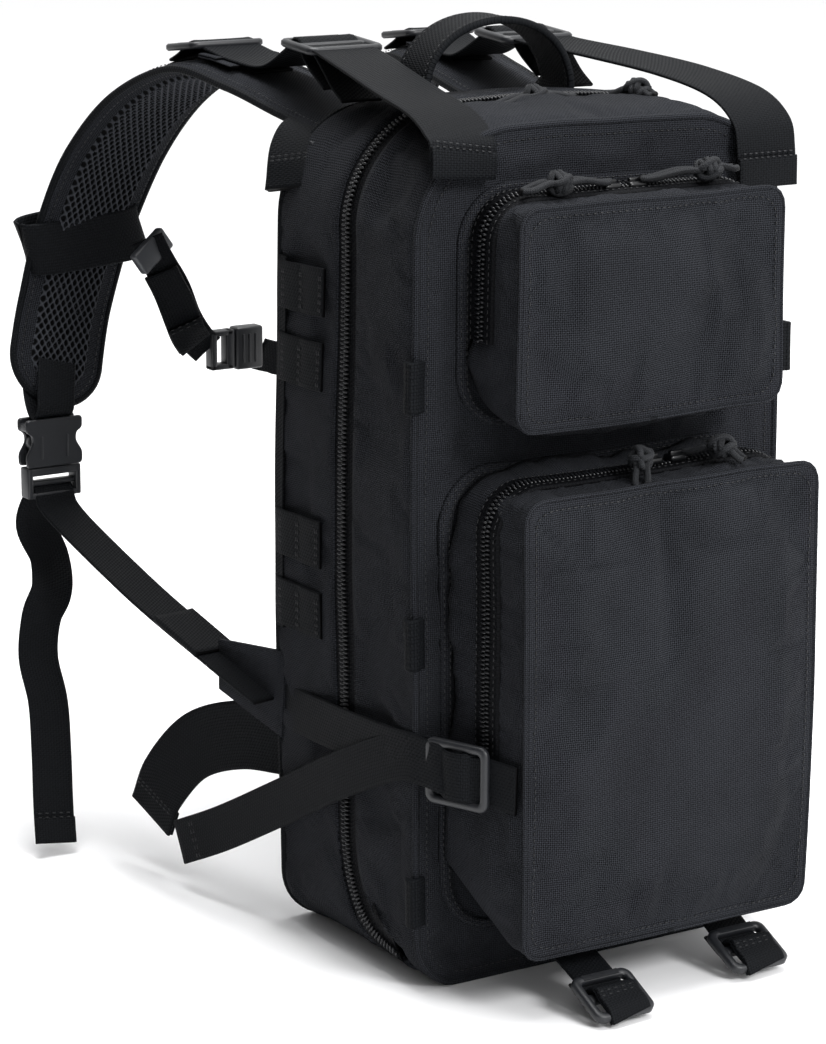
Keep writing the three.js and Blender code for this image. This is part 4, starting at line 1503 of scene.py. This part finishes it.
def makeMolle(name, side):
    low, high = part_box(f"{name}_molle")
    out = side * 1.0
    bm = bmesh.new()
    tacks = bmesh.new()
    x = side * 111.9 * mm
    for z in (168, 206, 299, 337):
        route = []
        for k in range(13):
            y = low.y + 0.5 * mm + (62 * mm - low.y) * k / 12
            bulge = 0.9 * mm * abs(math.sin(math.pi * 2 * k / 12)) * side
            route.append([x + bulge, y, (z + 12.5) * mm, 0, 0, 1])
        addStrap(bm, route, 25 * mm, 1.8 * mm, 40)
        for y in (21, 40, 57):
            for shift in (-0.8, 0.8):
                line = [Vector((x + side * 1.35 * mm, (y + shift) * mm, (z + 2.5 + 1.0 * j) * mm)) for j in range(21)]
                addStitches(tacks, line, [Vector((side, 0, 0))] * 21)
    addStrap(bm, [[x - side * 0.6 * mm, 60 * mm, z * mm, 0, 1, 0] for z in (166, 210, 260, 310, 364)], 7 * mm, 1.6 * mm, 30)
    for vert in list(bm.verts) + list(tacks.verts):
        vert.co = settleSoft(vert.co)
    pieceFrom(f"{name}SideRows", bm, webbing, "pack", replaces=[f"{name}_molle"])
    pieceFrom(f"{name}SideTacks", tacks, thread, "pack")


def settleSoft(point):
    return settle(point)


def makeSeamTabs():
    # folded webbing tabs caught in the seams of the front panel
    bm = bmesh.new()
    for side in (-1, 1):
        for z in (49.5, 185.5, 315):
            x = side * 112
            for k, (depth, tilt) in enumerate(((0, 0.9), (2.2, -0.9))):
                route = [[(x - side * 6) * mm, (-67.2 - depth * 0.2) * mm, z * mm, 0, 0, 1],
                         [(x - side * 1) * mm, (-68.8 - depth * 0.3) * mm, z * mm, 0, 0, 1],
                         [(x + side * 2.6) * mm, (-70 + depth) * mm, z * mm, 0, 0, 1],
                         [(x + side * 1.6) * mm, (-66 + depth) * mm, z * mm, 0, 0, 1]]
                addStrap(bm, route, 26 * mm, 2.0 * mm, 14)
    for vert in bm.verts:
        vert.co = settle(vert.co)
    pieceFrom("seamTabs", bm, webbing, "lid")


def makePiping():
    # corded seams round the front and back panels
    shape = outline(bag["width"], 0, bag["height"], bag["topRadius"], bag["bottomRadius"], 4 * mm)
    for name, y, body, radius in (("frontSeam", bag["frontY"] + 0.6 * mm, "lid", 1.9 * mm), ("backSeam", bag["backY"] - 0.6 * mm, "pack", 2.2 * mm)):
        bm = bmesh.new()
        points = [Vector((r[0] - r[3] * radius * 0.4, y, max(r[2] - r[5] * radius * 0.4, radius))) for r in shape]
        addCord(bm, points, radius, len(points), 8, closed=True)
        settleAll(bm)
        pieceFrom(name, bm, webbing if name == "backSeam" else cloth, body)
    bm = bmesh.new()
    for inset, y, out in ((7 * mm, bag["frontY"] - 0.35 * mm, -1),):
        inner = outline(bag["width"] - 2 * inset, inset, bag["height"] - inset, bag["topRadius"] - inset,
                        bag["bottomRadius"] - inset, 4 * mm)
        points = [settle(Vector((r[0], y, r[2]))) for r in inner]
        points.append(points[0])
        addStitches(bm, points, [Vector((0, out, 0))] * len(points))
    pieceFrom("frontSeamThread", bm, thread, "lid")


def pathOnPocket(size, radius, y, grow, lowest):
    # the pocket's rim from low on the left, over the top, to low on the right, at depth y
    shape = outline(size["width"] + 2 * grow, size["low"] - grow, size["high"] + grow, radius + grow, radius + grow, 3 * mm)
    rows = [r for r in shape if r[2] >= lowest]
    start = max(range(len(rows)), key=lambda i: (rows[i - 1].copy() - rows[i]).length)
    rows = rows[start:] + rows[:start]
    return [Vector((r[0], y, r[2])) for r in rows], [Vector((r[3], 0, r[5])) for r in rows]


def makePocketTrim(name, size, radius, zipLine, lowest):
    points, normals = pathOnPocket(size, radius, zipLine, 1.4 * mm, lowest)
    flap = f"{name}_flap"
    for hand, body, label in ((-1, "lid", "Rear"), (1, flap, "Front")):
        bm = bmesh.new()
        addCoil(bm, points, normals, hand)
        settleAll(bm)
        pieceFrom(f"{name}Coil{label}", bm, coilNylon, body)
        bm = bmesh.new()
        rings, uvs, distance = [], [], 0
        for i, p in enumerate(points):
            distance += (p - points[i - 1]).length if i else 0
            along = (points[min(i + 1, len(points) - 1)] - points[max(i - 1, 0)]).normalized()
            side = along.cross(normals[i]).normalized() * hand
            section = [(0.9 * mm, 0.2 * mm), (9 * mm, 0.0), (10.5 * mm, -1.2 * mm), (0.9 * mm, -1.0 * mm)]
            rings.append([p + side * u + normals[i] * v for u, v in section])
            uvs.append([(u, distance) for u, v in section])
        loft(bm, rings, uvs=uvs)
        bmesh.ops.recalc_face_normals(bm, faces=bm.faces)
        settleAll(bm)
        pieceFrom(f"{name}Tape{label}", bm, tapeCloth, body, smooth=False)
        bm = bmesh.new()
        line = [settle(p + n * 0.7 * mm + Vector((0, -1, 0)) * hand * 7.5 * mm) for p, n in zip(points, normals)]
        addStitches(bm, line, normals)
        pieceFrom(f"{name}Thread{label}", bm, thread, body)
    # flat seam allowance at the pocket's base, with its two rows of stitches
    bm = bmesh.new()
    inner = outline(size["width"], size["low"], size["high"], radius, radius, 4 * mm)
    outer = outline(size["width"] + 15 * mm, size["low"] - 4 * mm, size["high"] + 5 * mm, radius + 7 * mm, radius + 7 * mm, 4 * mm)
    count = 200
    a = evenly(inner + [inner[0]], count)[:-1]
    b = evenly(outer + [outer[0]], count)[:-1]
    y = size["baseY"]
    rings = [[Vector((p[0], y, p[2])) for p in a], [Vector((p[0], y - 1.5 * mm, p[2])) for p in a],
             [Vector((p[0], y - 1.3 * mm, p[2])) for p in b], [Vector((p[0], y + 0.6 * mm, p[2])) for p in b]]
    loft(bm, [[ring[i] for ring in rings] for i in range(len(rings[0]))], closed=True)
    bmesh.ops.recalc_face_normals(bm, faces=bm.faces)
    boxUv(bm)
    settleAll(bm)
    pieceFrom(f"{name}BaseSeam", bm, cloth, "lid")
    bm = bmesh.new()
    for share in (0.3, 0.75):
        line = [settle(mixPoint(Vector((p[0], y - 1.75 * mm, p[2])), Vector((q[0], y - 1.6 * mm, q[2])), share)) for p, q in zip(a, b)]
        line.append(line[0])
        addStitches(bm, line, [Vector((0, -1, 0))] * len(line))
    pieceFrom(f"{name}BaseThread", bm, thread, "lid")


def makeSlider(name):
    low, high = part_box(f"{name}_slider")
    bm = bmesh.new()
    roundedBlock(bm, (low.x, low.y, low.z + 0.8 * mm), high, 1.4 * mm)
    middle = (low + high) / 2
    roundedBlock(bm, (middle.x - 3.6 * mm, middle.y - 1.3 * mm, high.z - 1 * mm), (middle.x + 3.6 * mm, middle.y + 1.3 * mm, high.z + 1.8 * mm), 0.8 * mm)
    bmesh.ops.recalc_face_normals(bm, faces=bm.faces)
    pieceFrom(f"{name}Slider", bm, zinc, f"{name}_slider", replaces=[f"{name}_slider"])


knot = {"cord": 1.75 * mm, "loops": 3.0, "big": 6.2 * mm}


def makePull(name, start, middle, end, droop=0.0):
    # doubled cord from the slider, wrapped in a fat knot, with the two ends or a loop beyond it
    s, m, e = (Vector(p) * mm for p in (start, middle, end))
    along = (m - s).normalized()
    across = along.cross(Vector(zAxis)).normalized()
    up = across.cross(along)
    r = knot["cord"]
    bm = bmesh.new()
    for hand in (-1, 1):
        route = [s - along * 6 * mm + up * 0.5 * mm, s + across * hand * 2.2 * mm, mixPoint(s, m, 0.5) + across * hand * r * 1.5 + up * 1.5 * mm,
                 m - along * 4 * mm + across * hand * r]
        addCord(bm, route, r, 16)
        back = (e - m).normalized()
        sideways = back.cross(Vector(zAxis)).normalized()
        route = [m + along * 3 * mm + across * hand * r, mixPoint(m, e, 0.4) + sideways * hand * 2.6 * mm + Vector((0, 0, 1.6 * mm + droop)),
                 mixPoint(m, e, 0.8) + sideways * hand * 3.0 * mm, e + sideways * hand * (0.3 if name.endswith("left") else 2.2) * mm]
        addCord(bm, route, r, 22)
    coilPath = []
    turns = knot["loops"]
    for k in range(int(turns * 14) + 1):
        t = k / (turns * 14)
        angle = 2 * math.pi * turns * t
        wobble = 1 + 0.12 * math.sin(5 * angle + 1)
        radius = (knot["big"] - r) * (0.72 + 0.35 * math.sin(math.pi * t)) * wobble
        coilPath.append(m + along * (t - 0.5) * 8.6 * mm + (across * math.cos(angle) + up * math.sin(angle)) * radius)
    addCord(bm, coilPath, r, 90)
    for tilt in (0.6, 2.1):
        arc = []
        for k in range(13):
            angle = 2 * math.pi * k / 12
            arc.append(m + (along * math.cos(angle) * 6.2 * mm + (across * math.sin(tilt) + up * math.cos(tilt)) * math.sin(angle) * 5.4 * mm)
                       + (up * math.sin(tilt) - across * math.cos(tilt)) * 1.6 * mm * math.sin(2 * angle))
        addCord(bm, arc, r, 40)
    bmesh.ops.recalc_face_normals(bm, faces=bm.faces)
    for vert in bm.verts:
        vert.co.z = max(vert.co.z, 4 * mm)
    pieceFrom(f"{name}Pull", bm, cordNylon, f"{name}_pull", replaces=[f"{name}_pull"])


def makeInside():
    low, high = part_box("loop_panel")
    bm = bmesh.new()
    roundedBlock(bm, (low.x, high.y - 2 * mm, low.z), high, 1.0 * mm)
    boxUv(bm)
    pieceFrom("loopPanel", bm, fleece, "pack", replaces=["loop_panel"])
    bm = bmesh.new()
    tacks = bmesh.new()
    for z in (79, 164, 249, 334):
        route = []
        for k in range(25):
            x = -86 + 172 * k / 24
            route.append([x * mm, high.y - (2.6 + 2.6 * abs(math.sin(math.pi * k / 4))) * mm, z * mm, 0, 0, 1])
        addStrap(bm, route, 37 * mm, 1.5 * mm, 120)
        for k in range(0, 25, 4):
            x = (-86 + 172 * k / 24) * mm
            line = [Vector((x, high.y - 3.8 * mm, (z - 17 + 1.4 * j) * mm)) for j in range(25)]
            addStitches(tacks, line, [Vector((0, -1, 0))] * 25)
    pieceFrom("elasticLoops", bm, webbing, "pack")
    pieceFrom("elasticTacks", tacks, thread, "pack")
    low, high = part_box("frame_sheet")
    bm = bmesh.new()
    roundedBlock(bm, low, high, 0.7 * mm)
    pieceFrom("frameSheet", bm, acetal, "pack", replaces=["frame_sheet"])
    makeMeshSheet("lidMeshPocket", "lid_mesh_pocket", "lid", 1, 12 * mm, 4.2 * mm)
    for name in ("upper", "lower"):
        makeMeshSheet(f"{name}BackPad", f"back_pad_{name}", "pack", 1, 14 * mm, 3.4 * mm)


def makeMeshSheet(name, node, body, facing, radius, cell):
    # a pad or pocket of spacer mesh: a crowned slab whose open cells are modelled
    low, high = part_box(node)
    size = 1.25 * mm
    bm = roundedGrid(high.x - low.x, low.z, high.z, radius, radius, high.y if facing > 0 else low.y, size)
    depth = (high.y - low.y)
    middle = (low + high) / 2
    halfX, halfZ = (high.x - low.x) / 2, (high.z - low.z) / 2
    for vert in bm.verts:
        rim = min(halfX - abs(vert.co.x - middle.x), halfZ - abs(vert.co.z - middle.z))
        edge = smoothStep(0, min(9 * mm, depth * 1.5), rim)
        a = math.sin(math.pi * (vert.co.x / cell + vert.co.z / (cell * 1.6)))
        b = math.sin(math.pi * (vert.co.x / cell - vert.co.z / (cell * 1.6)))
        hole = smoothStep(0.25, 0.8, abs(a * b)) * smoothStep(6 * mm, 9 * mm, rim)
        vert.co.y -= facing * ((1 - edge) * depth * 0.7 + hole * min(1.0 * mm, depth * 0.4))
    extrudeEdge(bm, 2, lambda verts, k: [setattr(v.co, "y", v.co.y - facing * depth * 0.14) for v in verts])
    boxUv(bm)
    bmesh.ops.recalc_face_normals(bm, faces=bm.faces)
    if sum(f.normal.y for f in bm.faces) * facing < 0:
        bmesh.ops.reverse_faces(bm, faces=bm.faces)
    obj = pieceFrom(name, bm, knit, body, replaces=[node])
    shape = outline(high.x - low.x - 1 * mm, low.z + 0.5 * mm, high.z - 0.5 * mm, radius, radius, 4 * mm)
    rim = bmesh.new()
    y = low.y + 1.6 * mm if facing > 0 else high.y - 1.6 * mm
    addCord(rim, [Vector((r[0], y, r[2])) for r in shape], 1.5 * mm, len(shape), 6, closed=True)
    pieceFrom(name + "Binding", rim, webbing, body)


for sideName, side in (("left", -1), ("right", 1)):
    makeLifter(sideName, side)
    makeTwillTab(sideName, side)
    makeSideBuckle(sideName, side)
    makeTriangle(sideName, side)
    makeCompression(sideName, side)
    makeWaist(sideName, side)
    makeBottom(sideName)
    makeMolle(sideName, side)
makeSternum()
makeHandle()
makeSeamTabs()
makePiping()
makePocketTrim("upper", upperSize, 20 * mm, upperSize["baseY"] - 12 * mm, upperSize["fold"] + 2 * mm)
makePocketTrim("lower", lowerSize, 24 * mm, lowerSize["baseY"] - 32 * mm, lowerSize["fold"] + 16 * mm)
for pullName in ("main_left", "main_right", "upper_left", "upper_right", "lower_left", "lower_right"):
    makeSlider(pullName)
makePull("main_left", (20, -3, 444), (-3, -8, 445.5), (-32, -13, 443))
makePull("main_right", (51, -3, 444), (58, -13, 446), (62, -22, 444))
makePull("upper_left", (-14, -82, 411), (-42, -86, 413), (-66, -89, 411))
makePull("upper_right", (17, -82, 411), (48, -88, 414), (64, -89, 414))
makePull("lower_left", (-0.5, -103, 274), (-12, -117, 278), (-18, -126, 264))
makePull("lower_right", (31, -103, 274), (39, -116, 278), (46, -125, 272))
makeInside()
print("trim ready")


# ---------- floor and world ----------

def makeFlag():
    # a dark card beside the pack that keeps its left side in shade; the camera doesn't see it
    bm = bmesh.new()
    corners = [(-0.78, -0.72, 0.02), (-0.78, 1.5, 0.02), (-0.78, 1.5, 1.5), (-0.78, -0.72, 1.5)]
    bm.faces.new([bm.verts.new(c) for c in corners])
    mesh = bpy.data.meshes.new("flag")
    bm.to_mesh(mesh)
    bm.free()
    mesh.materials.append(startMaterial("matteCard", "#050505", 0.95)[0])
    obj = bpy.data.objects.new("flag", mesh)
    bpy.context.scene.collection.objects.link(obj)
    obj.visible_camera = False


def makeFloor():
    bm = bmesh.new()
    bmesh.ops.create_grid(bm, x_segments=1, y_segments=1, size=14)
    mesh = bpy.data.meshes.new("floor")
    bm.to_mesh(mesh)
    bm.free()
    mesh.materials.append(studioFloor())
    obj = bpy.data.objects.new("floor", mesh)
    bpy.context.scene.collection.objects.link(obj)
    world = bpy.data.worlds.new("studio")
    world.use_nodes = True
    world.node_tree.nodes["Background"].inputs[0].default_value = (1, 1, 1, 1)
    world.node_tree.nodes["Background"].inputs[1].default_value = light["world"]
    bpy.context.scene.world = world
    bpy.context.scene.view_settings.view_transform = "Standard"


makeFloor()
makeFlag()
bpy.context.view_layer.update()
